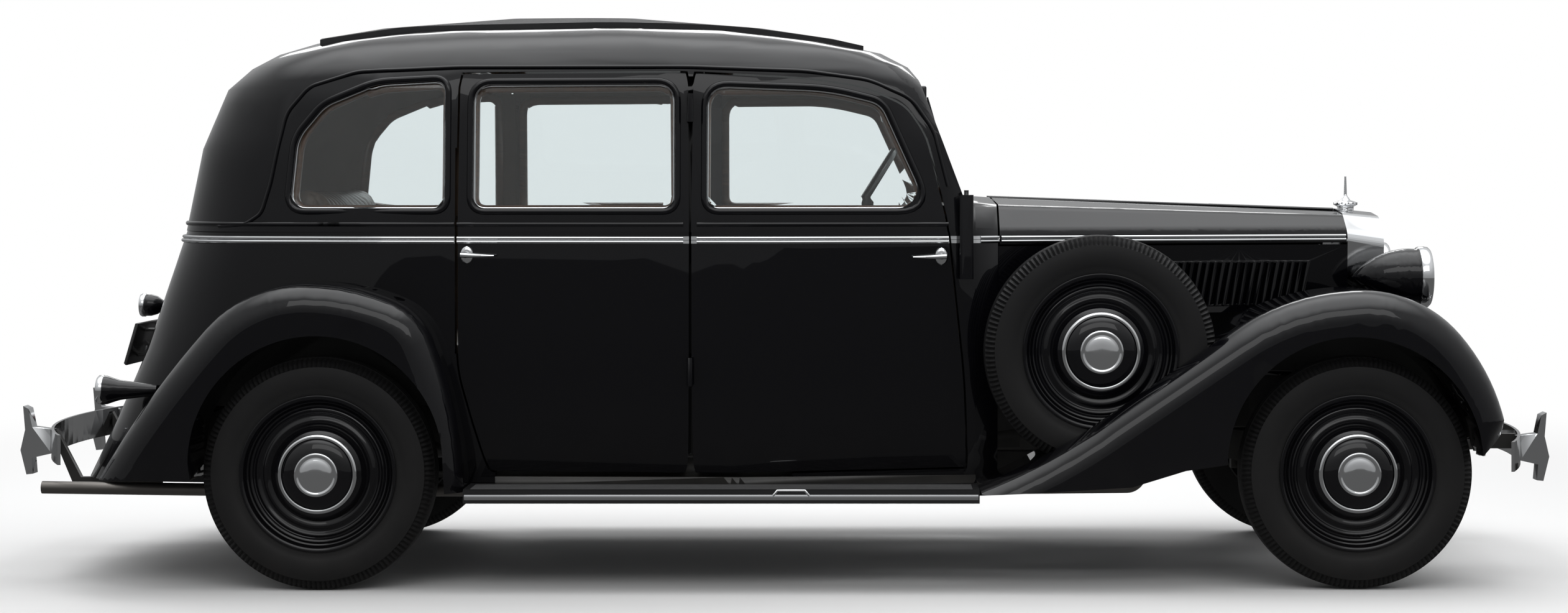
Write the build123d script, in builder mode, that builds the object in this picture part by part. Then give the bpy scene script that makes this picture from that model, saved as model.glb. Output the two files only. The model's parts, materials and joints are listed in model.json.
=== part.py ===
from build123d import *
from math import cos, radians, sin, sqrt, tan
import os

os.makedirs("parts", exist_ok=True)

# Overall layout: +X forward, +Y the car's left, +Z up, origin on the ground at mid length
WHEELBASE = 3050
FRONT_OVERHANG = 640
REAR_OVERHANG = 969
TRACK_FRONT = 1345
TRACK_REAR = 1380
TYRE_RADIUS = 343
TYRE_WIDTH = 142
KINGPIN_Y = TRACK_FRONT / 2 - 92
STEER_LOCK = 35
GAP = 6
SEAT_GAP = 0.3

X_REAR = REAR_OVERHANG - (WHEELBASE + FRONT_OVERHANG + REAR_OVERHANG) / 2
X_FRONT = X_REAR + WHEELBASE
Z_AXLE = TYRE_RADIUS

# Cabin stations, measured forward from the rear axle
X_REAR_DOOR = X_REAR + 392
X_B_POST = X_REAR + 1087
X_COWL = X_REAR + 1935
X_BONNET = X_REAR + 2005
X_RADIATOR = X_FRONT + 52
RADIATOR_DEPTH = 118

# Heights of the body
Z_SILL = 298
Z_DOOR_BOTTOM = 329
Z_HIP = 690
Z_BELT = 1050
Z_TOP = 1720
Z_ROOF = 1697

# Walls
WALL = 45

# Body outlines by height: height, tail and front from the rear axle, half widths at the
# quarter, the B post and the front, plan radii of the rear and front corners, and how far
# the skin leans back into the roof, from 0 on a wall to 1 on top
LOWER_OUTLINES = (
    (Z_SILL, -796, 2300, 606, 650, 530, 230, 60, 0),
    (480, -706, 2300, 642, 676, 555, 260, 60, 0),
    (Z_HIP, -616, 2300, 655, 689, 566, 280, 60, 0),
    (Z_BELT, -498, 2300, 660, 690, 567, 320, 60, 0),
)
UPPER_OUTLINES = (
    (Z_BELT, -498, 1990, 660, 690, 603, 320, 60, 0),
    (1300, -449, 1880, 645, 675, 600, 320, 60, 0),
    (1480, -371, 1787, 630, 662, 594, 300, 90, 0.1),
    (1545, -300, 1735, 606, 644, 574, 300, 130, 0.4),
    (1590, -222, 1655, 568, 616, 540, 300, 180, 0.65),
    (1625, -116, 1507, 517, 578, 497, 300, 220, 0.85),
    (1657, 85, 1305, 445, 506, 440, 200, 220, 1),
    (Z_ROOF - 4, 480, 910, 255, 280, 252, 60, 70, 1),
)
TAIL_BOW = 30
TAIL_NARROWING = 0.035
POST_SHARE = 0.65
QUARTER_SHARE = 0.24


def body_outline(row, inset):
    """One closed outline of the body at its height, drawn inset from the outer skin."""
    height, tail, front, quarter, post, nose, rear_corner, front_corner, lean = row
    shrink = inset * sqrt(1 - lean**2)
    x_tail = X_REAR + tail + shrink
    x_nose = X_REAR + front - shrink
    span = x_nose - x_tail
    left = (
        (x_nose, nose - shrink),
        (x_tail + POST_SHARE * span, post - shrink),
        (x_tail + QUARTER_SHARE * span, quarter - shrink),
        (x_tail + TAIL_BOW * quarter / Z_HIP, quarter - shrink - TAIL_NARROWING * span),
    )
    right = [(x, -y) for x, y in reversed(left)]
    radii = (front_corner, 500, 400, rear_corner)
    with BuildSketch(Plane.XY.offset(height - inset * lean)) as outline:
        with BuildLine():
            FilletPolyline(
                *left, (x_tail, 0), *right, radius=[*radii, 900, *reversed(radii)], close=True
            )
        make_face()
    return outline.sketch


def upper_body(inset):
    """The cabin above the belt, rounded into the roof."""
    with BuildPart() as upper:
        for row in UPPER_OUTLINES:
            add(body_outline(row, inset))
        loft(ruled=True)
    return upper.part


def lower_body(inset):
    """The body below the belt, turning under to the sills."""
    with BuildPart() as lower:
        for row in LOWER_OUTLINES:
            add(body_outline(row, inset))
        loft(ruled=True)
    return lower.part


# Slant of the windscreen: how far it leans back for each millimetre up, from its base
SCREEN_BASE_X = X_REAR + 1897
SCREEN_BASE_Z = 1156
SCREEN_RAKE = 0.374
HOOD_WALL = 14
CLEAR = 2600
HALF_CLEAR = 900

# Sections of the scuttle and bonnet: station, half widths at the sill, hip, belt and
# shoulder, and the heights of shoulder and centre line
HOOD_SECTIONS = (
    (X_REAR + 1855, 570, 606, 608, 520, 1137, 1160),
    (X_COWL, 571, 608, 610, 522, 1135, 1157),
    (X_BONNET, 530, 566, 568, 480, 1130, 1152),
    (X_RADIATOR, 250, 264, 268, 200, 1096, 1113),
)
Z_HOOD_SIDE = 1050


def screen_x(height):
    """Station of the windscreen plane at a height."""
    return SCREEN_BASE_X - (height - SCREEN_BASE_Z) * SCREEN_RAKE


def prism(points, y_from, y_to):
    """A straight-sided body drawn in side view and reaching from one Y to another."""
    with BuildPart() as body:
        with BuildSketch(Plane.XZ.offset(-y_from)):
            with BuildLine():
                Polyline(*points, close=True)
            make_face()
        extrude(amount=-(y_to - y_from))
    return body.part


def ahead_of_screen(inset):
    """Everything in front of the windscreen plane, the plane moved back by inset."""
    low, high = Z_BELT - 200, Z_TOP + 200
    points = (
        (screen_x(low) - inset, low),
        (screen_x(high) - inset, high),
        (X_REAR + CLEAR, high),
        (X_REAR + CLEAR, low),
    )
    return prism(points, -HALF_CLEAR, HALF_CLEAR)


def hood(inset):
    """Scuttle and bonnet as one tapering form."""
    with BuildPart() as form:
        for station, sill, hip, belt, shoulder, z_shoulder, z_centre in HOOD_SECTIONS:
            half = (
                (sill - inset, Z_SILL),
                (hip - inset, Z_HIP),
                (belt - inset, Z_HOOD_SIDE),
                (shoulder - inset * 0.6, z_shoulder - inset),
                (0, z_centre - inset),
            )
            other = [(-y, z) for y, z in reversed(half[:-1])]
            with BuildSketch(Plane.YZ.offset(station)):
                with BuildLine():
                    FilletPolyline(*half, *other, radius=[900, 50, 60, 1500, 60, 50, 900])
                    Line(other[-1], half[0])
                make_face()
        loft(ruled=True)
    return form.part


def box(x_from, x_to, y_from, y_to, z_from, z_to):
    """A plain block between the given faces."""
    with BuildPart() as block:
        with BuildSketch(Plane.XY.offset(z_from)):
            with Locations(((x_from + x_to) / 2, (y_from + y_to) / 2)):
                Rectangle(x_to - x_from, y_to - y_from)
        extrude(amount=z_to - z_from)
    return block.part


def tube(start, end, radius):
    """A round bar from one point to another."""
    run = Vector(*end) - Vector(*start)
    with BuildPart() as bar:
        with BuildSketch(Plane(origin=start, z_dir=run)):
            Circle(radius)
        extrude(amount=run.length)
    return bar.part


def save(part, name):
    """Write one finished piece."""
    part.label = name
    export_step(part, f"parts/{name}.step")
    print(name, len(part.solids()), round(part.volume / 1e6, 2))


# Side openings, drawn on the near side: outlines of the doors and windows
DOOR_TOP = 1531
DOOR_INNER_Y = 540
DOOR_TAPER = 8
TAPER_OUT = HALF_CLEAR - 690
FRONT_DOOR = (
    (X_B_POST, Z_DOOR_BOTTOM),
    (X_B_POST, DOOR_TOP),
    (X_B_POST + 330, DOOR_TOP - 12),
    (X_B_POST + 520, DOOR_TOP - 38),
    (X_B_POST + 648, DOOR_TOP - 96),
    (X_B_POST + 712, DOOR_TOP - 190),
    (X_B_POST + 773, 1080),
    (X_B_POST + 824, 610),
    (X_B_POST + 838, Z_DOOR_BOTTOM),
)
REAR_DOOR = (
    (X_B_POST, Z_DOOR_BOTTOM),
    (X_REAR_DOOR + 86, Z_DOOR_BOTTOM),
    (X_REAR_DOOR, 640),
    (X_REAR_DOOR, DOOR_TOP),
    (X_B_POST, DOOR_TOP),
)
FRONT_WINDOW = (
    (X_B_POST + 51, 1121),
    (X_B_POST + 51, 1482),
    (X_B_POST + 410, 1470),
    (X_B_POST + 565, 1432),
    (X_B_POST + 706, 1121),
)
REAR_WINDOW = (
    (X_REAR_DOOR + 52, 1121),
    (X_REAR_DOOR + 52, 1487),
    (X_B_POST - 48, 1489),
    (X_B_POST - 48, 1121),
)
QUARTER_WINDOW = (
    (X_REAR_DOOR - 35, 1121),
    (X_REAR_DOOR - 35, 1500),
    (X_REAR_DOOR - 240, 1489),
    (X_REAR_DOOR - 400, 1425),
    (X_REAR_DOOR - 480, 1330),
    (X_REAR_DOOR - 500, 1121),
)


def side_cut(points, radii, grow, taper=0):
    """A window or door outline as a cutter through one side, grown all round."""
    with BuildPart() as cutter:
        with BuildSketch(Plane.XZ.offset(-HALF_CLEAR)):
            with BuildLine():
                FilletPolyline(*points, radius=radii, close=True)
            make_face()
            if grow or taper:
                offset(amount=grow + TAPER_OUT * tan(radians(taper)), kind=Kind.INTERSECTION)
        extrude(amount=HALF_CLEAR - DOOR_INNER_Y, taper=taper)
    return cutter.part


def front_door_cut(grow):
    return side_cut(FRONT_DOOR, (3, 3, 1200, 450, 140, 240, 900, 1500, 3), grow, DOOR_TAPER)


def rear_door_cut(grow):
    return side_cut(REAR_DOOR, (3, 40, 400, 12, 3), grow, DOOR_TAPER)


def front_window_cut(grow):
    return side_cut(FRONT_WINDOW, (35, 60, 700, 70, 60), grow)


def rear_window_cut(grow):
    return side_cut(REAR_WINDOW, (35, 55, 55, 35), grow)


def quarter_window_cut(grow):
    return side_cut(QUARTER_WINDOW, (35, 35, 250, 120, 120, 45), grow)


def both_sides(part):
    """A piece and its mirror image across the car."""
    with BuildPart() as pair:
        add(part)
        mirror(about=Plane.XZ)
    return pair.part


# Levels that the floor, frame and engine share
FLOOR_TOP = 389
FLOOR_THICKNESS = 14
RAIL_Y = 330
RAIL_WIDTH = 55
RAIL_DEPTH = 90
RAIL_POINTS = (
    (X_REAR - 640, 382), (X_REAR - 330, 520), (X_REAR + 240, 520), (X_REAR + 500, 372),
    (X_FRONT - 700, 372), (X_FRONT - 330, 440), (X_FRONT + 470, 470),
)
ENGINE_X = (X_BONNET + 90, X_RADIATOR - 120)
GEARBOX_REAR = ENGINE_X[0] - 400
DIFFERENTIAL_RADIUS = 118
SHAFT_START = (X_REAR + DIFFERENTIAL_RADIUS + SEAT_GAP, 0, Z_AXLE)
SHAFT_END = (GEARBOX_REAR, 0, 420)
SHAFT_RADIUS = 30


def rail_top(x):
    """Height of the top of the frame rails at a station."""
    for (x_from, z_from), (x_to, z_to) in zip(RAIL_POINTS, RAIL_POINTS[1:]):
        if x_from <= x <= x_to:
            return z_from + (x - x_from) * (z_to - z_from) / (x_to - x_from)


# The whole cabin shell, before it is cut into panels
upper_outer = upper_body(0) - ahead_of_screen(0)
upper_inner = upper_body(WALL) - ahead_of_screen(WALL)
past_cowl = box(X_COWL, X_REAR + CLEAR, -HALF_CLEAR, HALF_CLEAR, 0, 2000)
lower_outer = lower_body(0) - past_cowl
lower_inner = lower_body(WALL)
shell = (upper_outer - upper_inner) + (lower_outer - lower_inner)

# Belt mouldings stand on the skin of the lower body, and are cut with the panels
MOULDING_PROUD = 4
BELT_STRIP = (1016, 1038)
lower_proud = lower_body(-MOULDING_PROUD) - past_cowl
band = box(X_REAR - 900, X_COWL, -HALF_CLEAR, HALF_CLEAR, *BELT_STRIP)
shell = shell + ((lower_proud & band) - lower_inner)

# Openings on the left side and their mirror images
openings_left = front_door_cut(GAP / 2) + rear_door_cut(GAP / 2)
door_openings = both_sides(openings_left)
quarter_windows = both_sides(quarter_window_cut(0))
ROOF_SPLIT_Z = 1300
SCREEN_FRAME = 80
screen_zone = ahead_of_screen(SCREEN_FRAME)
open_shell = shell - door_openings

# Rear body: tail and quarter panels, with their windows, the rear light and the wheel cut-outs
REAR_LIGHT_HALF = 330
REAR_LIGHT_Z = (1225, 1420)
WHEELHOUSE_RADIUS = 384


def rear_light_cut(grow):
    """The rear light as a cutter along the car, grown all round."""
    with BuildPart() as cutter:
        with BuildSketch(Plane.YZ.offset(X_REAR - 700)):
            with Locations((0, sum(REAR_LIGHT_Z) / 2)):
                RectangleRounded(2 * REAR_LIGHT_HALF, REAR_LIGHT_Z[1] - REAR_LIGHT_Z[0], 60)
            offset(amount=grow)
        extrude(amount=500)
    return cutter.part


with BuildPart() as wheel_well:
    with BuildSketch(Plane.XZ.offset(-HALF_CLEAR)):
        with Locations((X_REAR, Z_AXLE + 30)):
            Circle(WHEELHOUSE_RADIUS)
    extrude(amount=2 * HALF_CLEAR)
SILL_REAR = X_REAR_DOOR + 112
behind_door = box(X_REAR - 900, X_REAR_DOOR - GAP / 2, -HALF_CLEAR, HALF_CLEAR, 0, 2000) + box(
    X_REAR_DOOR - 10, SILL_REAR, -HALF_CLEAR, HALF_CLEAR, 0, Z_HIP
)
with BuildPart() as rear_body:
    add(open_shell)
    add(behind_door, mode=Mode.INTERSECT)
    add(quarter_windows, mode=Mode.SUBTRACT)
    add(rear_light_cut(0), mode=Mode.SUBTRACT)
    add(wheel_well.part, mode=Mode.SUBTRACT)
save(rear_body.part, "rear_body")

# Roof between the rear body and the windscreen frame
roof_zone = box(X_REAR_DOOR - GAP / 2, X_REAR + CLEAR, -HALF_CLEAR, HALF_CLEAR, ROOF_SPLIT_Z, 2000)
between_doors = box(X_B_POST - 30, X_B_POST + 30, -HALF_CLEAR, HALF_CLEAR, ROOF_SPLIT_Z, DOOR_TOP - 19)
with BuildPart() as roof_shell:
    add(open_shell)
    add(roof_zone, mode=Mode.INTERSECT)
    add(screen_zone, mode=Mode.SUBTRACT)
    add(between_doors, mode=Mode.SUBTRACT)
save(roof_shell.part, "roof_shell")

# Scuttle: windscreen frame, pillars, cowl sides and the top ahead of the windscreen
SCREEN_HALF_LOW = 525
SCREEN_HALF_HIGH = 495
SCREEN_LOW = 1185
SCREEN_HIGH = 1470


def screen_cut(grow):
    """The windscreen opening as a cutter along the car, grown all round."""
    with BuildPart() as cutter:
        with BuildSketch(Plane.YZ.offset(X_REAR + 1400)):
            with BuildLine():
                FilletPolyline(
                    (-SCREEN_HALF_LOW, SCREEN_LOW),
                    (SCREEN_HALF_LOW, SCREEN_LOW),
                    (SCREEN_HALF_HIGH, SCREEN_HIGH),
                    (-SCREEN_HALF_HIGH, SCREEN_HIGH),
                    radius=45,
                    close=True,
                )
            make_face()
            offset(amount=grow)
        extrude(amount=700)
    return cutter.part


hood_outer = hood(0)
hood_inner = hood(HOOD_WALL)
scuttle_zone = box(X_REAR + 1855, X_BONNET - GAP / 2, -HALF_CLEAR, HALF_CLEAR, 0, 2000)
with BuildPart() as cowl_sides:
    add(hood_outer)
    add(hood_inner, mode=Mode.SUBTRACT)
    add(scuttle_zone, mode=Mode.INTERSECT)
    add(upper_outer, mode=Mode.SUBTRACT)
    add(lower_outer, mode=Mode.SUBTRACT)
    add(both_sides(front_door_cut(GAP / 2)), mode=Mode.SUBTRACT)
SILL_TOP = Z_DOOR_BOTTOM - GAP
HINGE_ROD = 5
front_pillars = box(X_B_POST + 300, X_REAR + CLEAR, -HALF_CLEAR, HALF_CLEAR, SILL_TOP + SEAT_GAP, 2000)
with BuildPart() as screen_frame:
    add(open_shell)
    add(front_pillars, mode=Mode.INTERSECT)
    below_roof = box(X_B_POST + 300, X_COWL, -HALF_CLEAR, HALF_CLEAR, 0, ROOF_SPLIT_Z)
    add(screen_zone + below_roof, mode=Mode.INTERSECT)
    add(screen_cut(0), mode=Mode.SUBTRACT)
with BuildPart() as scuttle:
    add(screen_frame.part)
    add(cowl_sides.part)
    add(tube((X_BONNET - 10, 0, 1151), (X_RADIATOR - SEAT_GAP, 0, 1112), HINGE_ROD))
save(scuttle.part, "scuttle")

# Doors, cut from the same wall, with their windows
GLASS_INSET = 18
GLASS_THICKNESS = 5
glass_wall = (upper_body(GLASS_INSET) - ahead_of_screen(GLASS_INSET)) - (
    upper_body(GLASS_INSET + GLASS_THICKNESS) - ahead_of_screen(GLASS_INSET + GLASS_THICKNESS)
)
DOORS = (
    ("front", front_door_cut(-GAP / 2), front_window_cut(0), front_window_cut(-SEAT_GAP)),
    ("rear", rear_door_cut(-GAP / 2), rear_window_cut(0), rear_window_cut(-SEAT_GAP)),
)
for place, outline, window, pane in DOORS:
    with BuildPart() as door:
        add(shell)
        add(outline, mode=Mode.INTERSECT)
        add(window, mode=Mode.SUBTRACT)
    with BuildPart() as glass:
        add(glass_wall)
        add(pane, mode=Mode.INTERSECT)
    save(door.part, f"door_{place}_left")
    save(door.part.mirror(Plane.XZ), f"door_{place}_right")
    save(glass.part, f"glass_{place}_left")
    save(glass.part.mirror(Plane.XZ), f"glass_{place}_right")

# Pillars at the B post, inboard of the doors, with the barrels both doors turn on
HINGE_RADIUS = 9
HINGE_LENGTH = 84
HINGE_LEAF = 3
HINGE_HIGH = (703 - 19, 1418)
HINGE_LOW = (703, 638)
POST_DEPTH = 34
POST_WIDTH = 70
POST_CLEARANCE = 6
POST_INSET = WALL + POST_CLEARANCE
clear_of_doors = lower_body(POST_INSET)
post_zone = box(X_B_POST - POST_WIDTH / 2, X_B_POST + POST_WIDTH / 2, 0, HALF_CLEAR, FLOOR_TOP, 1530)
with BuildPart() as post_left:
    add(upper_body(POST_INSET))
    add(clear_of_doors)
    add(upper_body(POST_INSET + POST_DEPTH), mode=Mode.SUBTRACT)
    add(lower_body(POST_INSET + POST_DEPTH), mode=Mode.SUBTRACT)
    add(post_zone, mode=Mode.INTERSECT)
pin_low, pin_high = (Vector(X_B_POST, *place) for place in (HINGE_LOW, HINGE_HIGH))
pin_line = (pin_high - pin_low).normalized()
with BuildPart() as hinges_left:
    for pin in (pin_low, pin_high):
        start, end = (pin + pin_line * half for half in (-HINGE_LENGTH / 2, HINGE_LENGTH / 2))
        add(tube(tuple(start), tuple(end), HINGE_RADIUS))
        y_leaf = (pin.Y - 80, pin.Y)
        z_leaf = (pin.Z - HINGE_LENGTH / 2 + 1, pin.Z + HINGE_LENGTH / 2 - 1)
        add(box(X_B_POST - HINGE_LEAF / 2, X_B_POST + HINGE_LEAF / 2, *y_leaf, *z_leaf))
with BuildPart() as b_pillars:
    add(both_sides(post_left.part + hinges_left.part))
save(b_pillars.part, "b_pillars")

# Fixed glass: windscreen, quarter windows and rear light, cut like their openings
with BuildPart() as fixed_glass:
    add(both_sides(glass_wall & quarter_window_cut(-SEAT_GAP)))
    add(glass_wall & rear_light_cut(-SEAT_GAP))
    add(glass_wall & screen_cut(-SEAT_GAP))
save(fixed_glass.part, "fixed_glass")

# Floor: plate over the frame, sills, kick-up over the rear axle, tunnel and toe board
FLOOR_Z = FLOOR_TOP - FLOOR_THICKNESS
KICK_X = X_REAR + 520
KICK_TOP = 534
KICK_HALF = 500
SILL_WALL = 12
TUNNEL_HALF = 75
TUNNEL_TOP = 478
TUNNEL_WALL = 8
GEARBOX_HALF = 104
GEARBOX_TOP = 580
TOE_X = X_COWL - 44
TOE_TOP = 1040


def tunnel(half, top, x_from, x_to):
    """A box over the drive line, as its outside and its hollow."""
    outside = box(x_from, x_to, -half, half, FLOOR_Z, top)
    inner = half - TUNNEL_WALL
    hollow = box(x_from + TUNNEL_WALL, x_to + 1, -inner, inner, FLOOR_Z - 1, top - TUNNEL_WALL)
    return outside, hollow


shaft_tunnel, shaft_hollow = tunnel(TUNNEL_HALF, TUNNEL_TOP, KICK_X - 10, TOE_X)
gearbox_tunnel, gearbox_hollow = tunnel(GEARBOX_HALF, GEARBOX_TOP, GEARBOX_REAR - 30, TOE_X)
with BuildPart() as wheel_boxes:
    for side in (1, -1):
        y_wall = side * KICK_HALF
        with BuildSketch(Plane.XZ.offset(-y_wall)):
            with Locations((X_REAR, Z_AXLE + 30)):
                Circle(WHEELHOUSE_RADIUS + TUNNEL_WALL)
        extrude(amount=-side * 100)
        with BuildSketch(Plane.XZ.offset(-y_wall - side * TUNNEL_WALL)):
            with Locations((X_REAR, Z_AXLE + 30)):
                Circle(WHEELHOUSE_RADIUS)
        extrude(amount=-side * 100, mode=Mode.SUBTRACT)
    add(box(X_REAR - 500, X_REAR + 500, -HALF_CLEAR, HALF_CLEAR, KICK_TOP - 10, 1000), mode=Mode.INTERSECT)
with BuildPart() as floor_plates:
    add(box(KICK_X, TOE_X, -HALF_CLEAR, HALF_CLEAR, FLOOR_Z, FLOOR_TOP))
    for side in (1, -1):
        y_strip = sorted((side * (RAIL_Y + 34), side * HALF_CLEAR))
        add(box(X_REAR_DOOR + 10, KICK_X, *y_strip, FLOOR_Z, FLOOR_TOP))
    add(box(KICK_X - 10, KICK_X, -KICK_HALF, KICK_HALF, FLOOR_Z, KICK_TOP))
    add(box(X_REAR - 520, KICK_X, -KICK_HALF, KICK_HALF, KICK_TOP - 10, KICK_TOP))
    add(box(TOE_X - 10, TOE_X, -HALF_CLEAR, HALF_CLEAR, FLOOR_Z, TOE_TOP))
    add(shaft_tunnel)
    add(gearbox_tunnel)
    add(shaft_hollow, mode=Mode.SUBTRACT)
    add(gearbox_hollow, mode=Mode.SUBTRACT)
    add(tube(SHAFT_START, SHAFT_END, SHAFT_RADIUS + TUNNEL_WALL), mode=Mode.SUBTRACT)
    add(wheel_boxes.part)
    add(clear_of_doors, mode=Mode.INTERSECT)
with BuildPart() as sills:
    add(clear_of_doors - lower_body(POST_INSET + SILL_WALL))
    add(box(SILL_REAR, TOE_X, -HALF_CLEAR, HALF_CLEAR, Z_SILL, FLOOR_TOP), mode=Mode.INTERSECT)
with BuildPart() as sill_skins:
    add(lower_outer - clear_of_doors)
    add(box(SILL_REAR, X_COWL, -HALF_CLEAR, HALF_CLEAR, Z_SILL, SILL_TOP), mode=Mode.INTERSECT)
with BuildPart() as floor_pan:
    add(floor_plates.part)
    add(sills.part)
    add(sill_skins.part)
save(floor_pan.part, "floor_pan")

# Fabric sliding roof panel, standing on the roof
ROOF_PANEL_HALF = 400
ROOF_PANEL_HEIGHT = 14
panel_zone = box(X_REAR - 60, X_REAR + 1600, -ROOF_PANEL_HALF, ROOF_PANEL_HALF, 1400, 2000)
with BuildPart() as fabric_roof:
    add(upper_body(-ROOF_PANEL_HEIGHT))
    add(upper_body(0), mode=Mode.SUBTRACT)
    add(panel_zone, mode=Mode.INTERSECT)
save(fabric_roof.part, "fabric_roof")

# Bonnet halves, hinged on the centre line, above fixed sides with slanted louvres
BONNET_CLEAR = 3
SIDE_TOP = 1006
SIDE_BASE = 800
LOUVRE_COUNT = 24
LOUVRE_PITCH = 25.6
LOUVRE_LENGTH = 142
LOUVRE_SLANT = 11.5
LOUVRE_Z = 888
LOUVRE_LAST = X_FRONT - 88
LOUVRE_WIDTH = 9
bonnet_zone = box(
    X_BONNET + BONNET_CLEAR, X_RADIATOR - BONNET_CLEAR, HINGE_ROD + SEAT_GAP, HALF_CLEAR, SIDE_TOP + GAP, 1300
)
side_zone = box(
    X_BONNET - GAP / 2 + SEAT_GAP, X_RADIATOR - SEAT_GAP, 0, HALF_CLEAR, SIDE_BASE, SIDE_TOP
)
side_run = Vector(X_RADIATOR - X_BONNET, 267 - 567, 0).normalized()
side_start = Vector(X_BONNET, 567.5, LOUVRE_Z)
side_plane = Plane(origin=side_start, x_dir=side_run, z_dir=Vector(-side_run.Y, side_run.X, 0))
run_last = (LOUVRE_LAST - X_BONNET) / side_run.X
louvre_places = [(run_last - n * LOUVRE_PITCH, 0) for n in range(LOUVRE_COUNT)]
with BuildPart() as louvre_ribs:
    with BuildSketch(side_plane.offset(-HOOD_WALL / 2)):
        with Locations(*louvre_places):
            SlotOverall(LOUVRE_LENGTH, LOUVRE_WIDTH, rotation=90 + LOUVRE_SLANT)
    extrude(amount=HOOD_WALL / 2 + 5)
with BuildPart() as louvre_slots:
    with BuildSketch(side_plane.offset(-2 * HOOD_WALL)):
        with Locations(*[(along - LOUVRE_WIDTH * 0.9, 0) for along, up in louvre_places]):
            SlotOverall(LOUVRE_LENGTH - 14, 5, rotation=90 + LOUVRE_SLANT)
    extrude(amount=4 * HOOD_WALL)
with BuildPart() as bonnet_left:
    add(hood_outer)
    add(hood_inner, mode=Mode.SUBTRACT)
    add(bonnet_zone, mode=Mode.INTERSECT)
save(bonnet_left.part, "bonnet_left")
save(bonnet_left.part.mirror(Plane.XZ), "bonnet_right")
with BuildPart() as side_left:
    add(hood_outer)
    add(louvre_ribs.part)
    add(hood_inner, mode=Mode.SUBTRACT)
    add(side_zone, mode=Mode.INTERSECT)
    add(louvre_slots.part, mode=Mode.SUBTRACT)
save(both_sides(side_left.part), "bonnet_sides")

# Radiator shell with its cap, and the vee of slats inside it
SHELL_BASE_Z = 470
SHELL_BACK = X_RADIATOR
SHELL_TOP_Z = 1117
GRILLE_FRAME = 46
RADIATOR_OUTLINES = (
    (SHELL_BACK, 236, 272, 1040, SHELL_TOP_Z, 0),
    (SHELL_BACK + RADIATOR_DEPTH, 214, 244, 1020, SHELL_TOP_Z - 12, 0),
)


def radiator_outline(station, low, high, shoulder, top, inset):
    """Front-view outline of the radiator at a station."""
    points = (
        (-low + inset, SHELL_BASE_Z + inset),
        (low - inset, SHELL_BASE_Z + inset),
        (high - inset, shoulder - inset),
        (high * 0.62, top - 14 - inset),
        (0, top - inset),
        (-high * 0.62, top - 14 - inset),
        (-high + inset, shoulder - inset),
    )
    with BuildSketch(Plane.YZ.offset(station)) as outline:
        with BuildLine():
            FilletPolyline(*points, radius=(40, 40, 46, 60, 400, 60, 46), close=True)
        make_face()
    return outline.sketch


with BuildPart() as radiator_form:
    for row in RADIATOR_OUTLINES:
        add(radiator_outline(*row))
    loft(ruled=True)
with BuildPart() as radiator_hole:
    for station, low, high, shoulder, top, inset in RADIATOR_OUTLINES:
        add(radiator_outline(station, low, high, shoulder - 30, top - 30, GRILLE_FRAME))
    loft(ruled=True)
CAP_X = X_RADIATOR + 40
with BuildPart() as radiator_shell:
    add(radiator_form.part)
    add(radiator_hole.part, mode=Mode.SUBTRACT)
    with BuildSketch(Plane.XZ):
        with BuildLine():
            Polyline(
                (CAP_X, SHELL_TOP_Z - 20), (CAP_X + 26, SHELL_TOP_Z - 20), (CAP_X + 26, SHELL_TOP_Z + 4),
                (CAP_X + 38, SHELL_TOP_Z + 10), (CAP_X + 38, SHELL_TOP_Z + 17), (CAP_X + 16, SHELL_TOP_Z + 24),
                (CAP_X + 5, SHELL_TOP_Z + 40), (CAP_X + 3, SHELL_TOP_Z + 100), (CAP_X, SHELL_TOP_Z + 104),
                close=True,
            )
        make_face()
    revolve(axis=Axis((CAP_X, 0, 0), (0, 0, 1)))
save(radiator_shell.part, "radiator_shell")
SLAT_COUNT = 37
SLAT_PITCH = 11
SLAT_THICKNESS = 3
VEE_DEPTH = 38
with BuildPart() as slat_field:
    with BuildSketch(Plane.XY.offset(SHELL_BASE_Z)):
        for n in range(SLAT_COUNT):
            y_slat = (n - (SLAT_COUNT - 1) / 2) * SLAT_PITCH
            x_slat = SHELL_BACK + RADIATOR_DEPTH - 26 - abs(y_slat) / 200 * VEE_DEPTH
            with Locations((x_slat - 9, y_slat)):
                Rectangle(18, SLAT_THICKNESS)
    extrude(amount=700)
with BuildPart() as slat_backing:
    with BuildSketch(Plane.XY.offset(SHELL_BASE_Z)):
        with BuildLine():
            x_mid = SHELL_BACK + RADIATOR_DEPTH - 26 - 18
            Polyline(
                (x_mid, 0), (x_mid - VEE_DEPTH, 200), (x_mid - VEE_DEPTH, 260), (x_mid - VEE_DEPTH - 10, 260),
                (x_mid - VEE_DEPTH - 10, -260), (x_mid - VEE_DEPTH, -260), (x_mid - VEE_DEPTH, -200), close=True,
            )
        make_face()
    extrude(amount=700)
with BuildPart() as radiator_grille:
    add(radiator_hole.part)
    add(slat_field.part + slat_backing.part, mode=Mode.INTERSECT)
save(radiator_grille.part, "radiator_grille")

# Front wings: one pontoon each side from the running board to the nose
WING_HALF = 815
WING_EDGE = 90
REAR_WING_EDGE = 85
REAR_WING_INNER = 560
FRONT_ARCH = 372
BOARD_FRONT = X_FRONT - 1113
BOARD_REAR = X_REAR + 432
BOARD_TOP = 303


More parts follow.
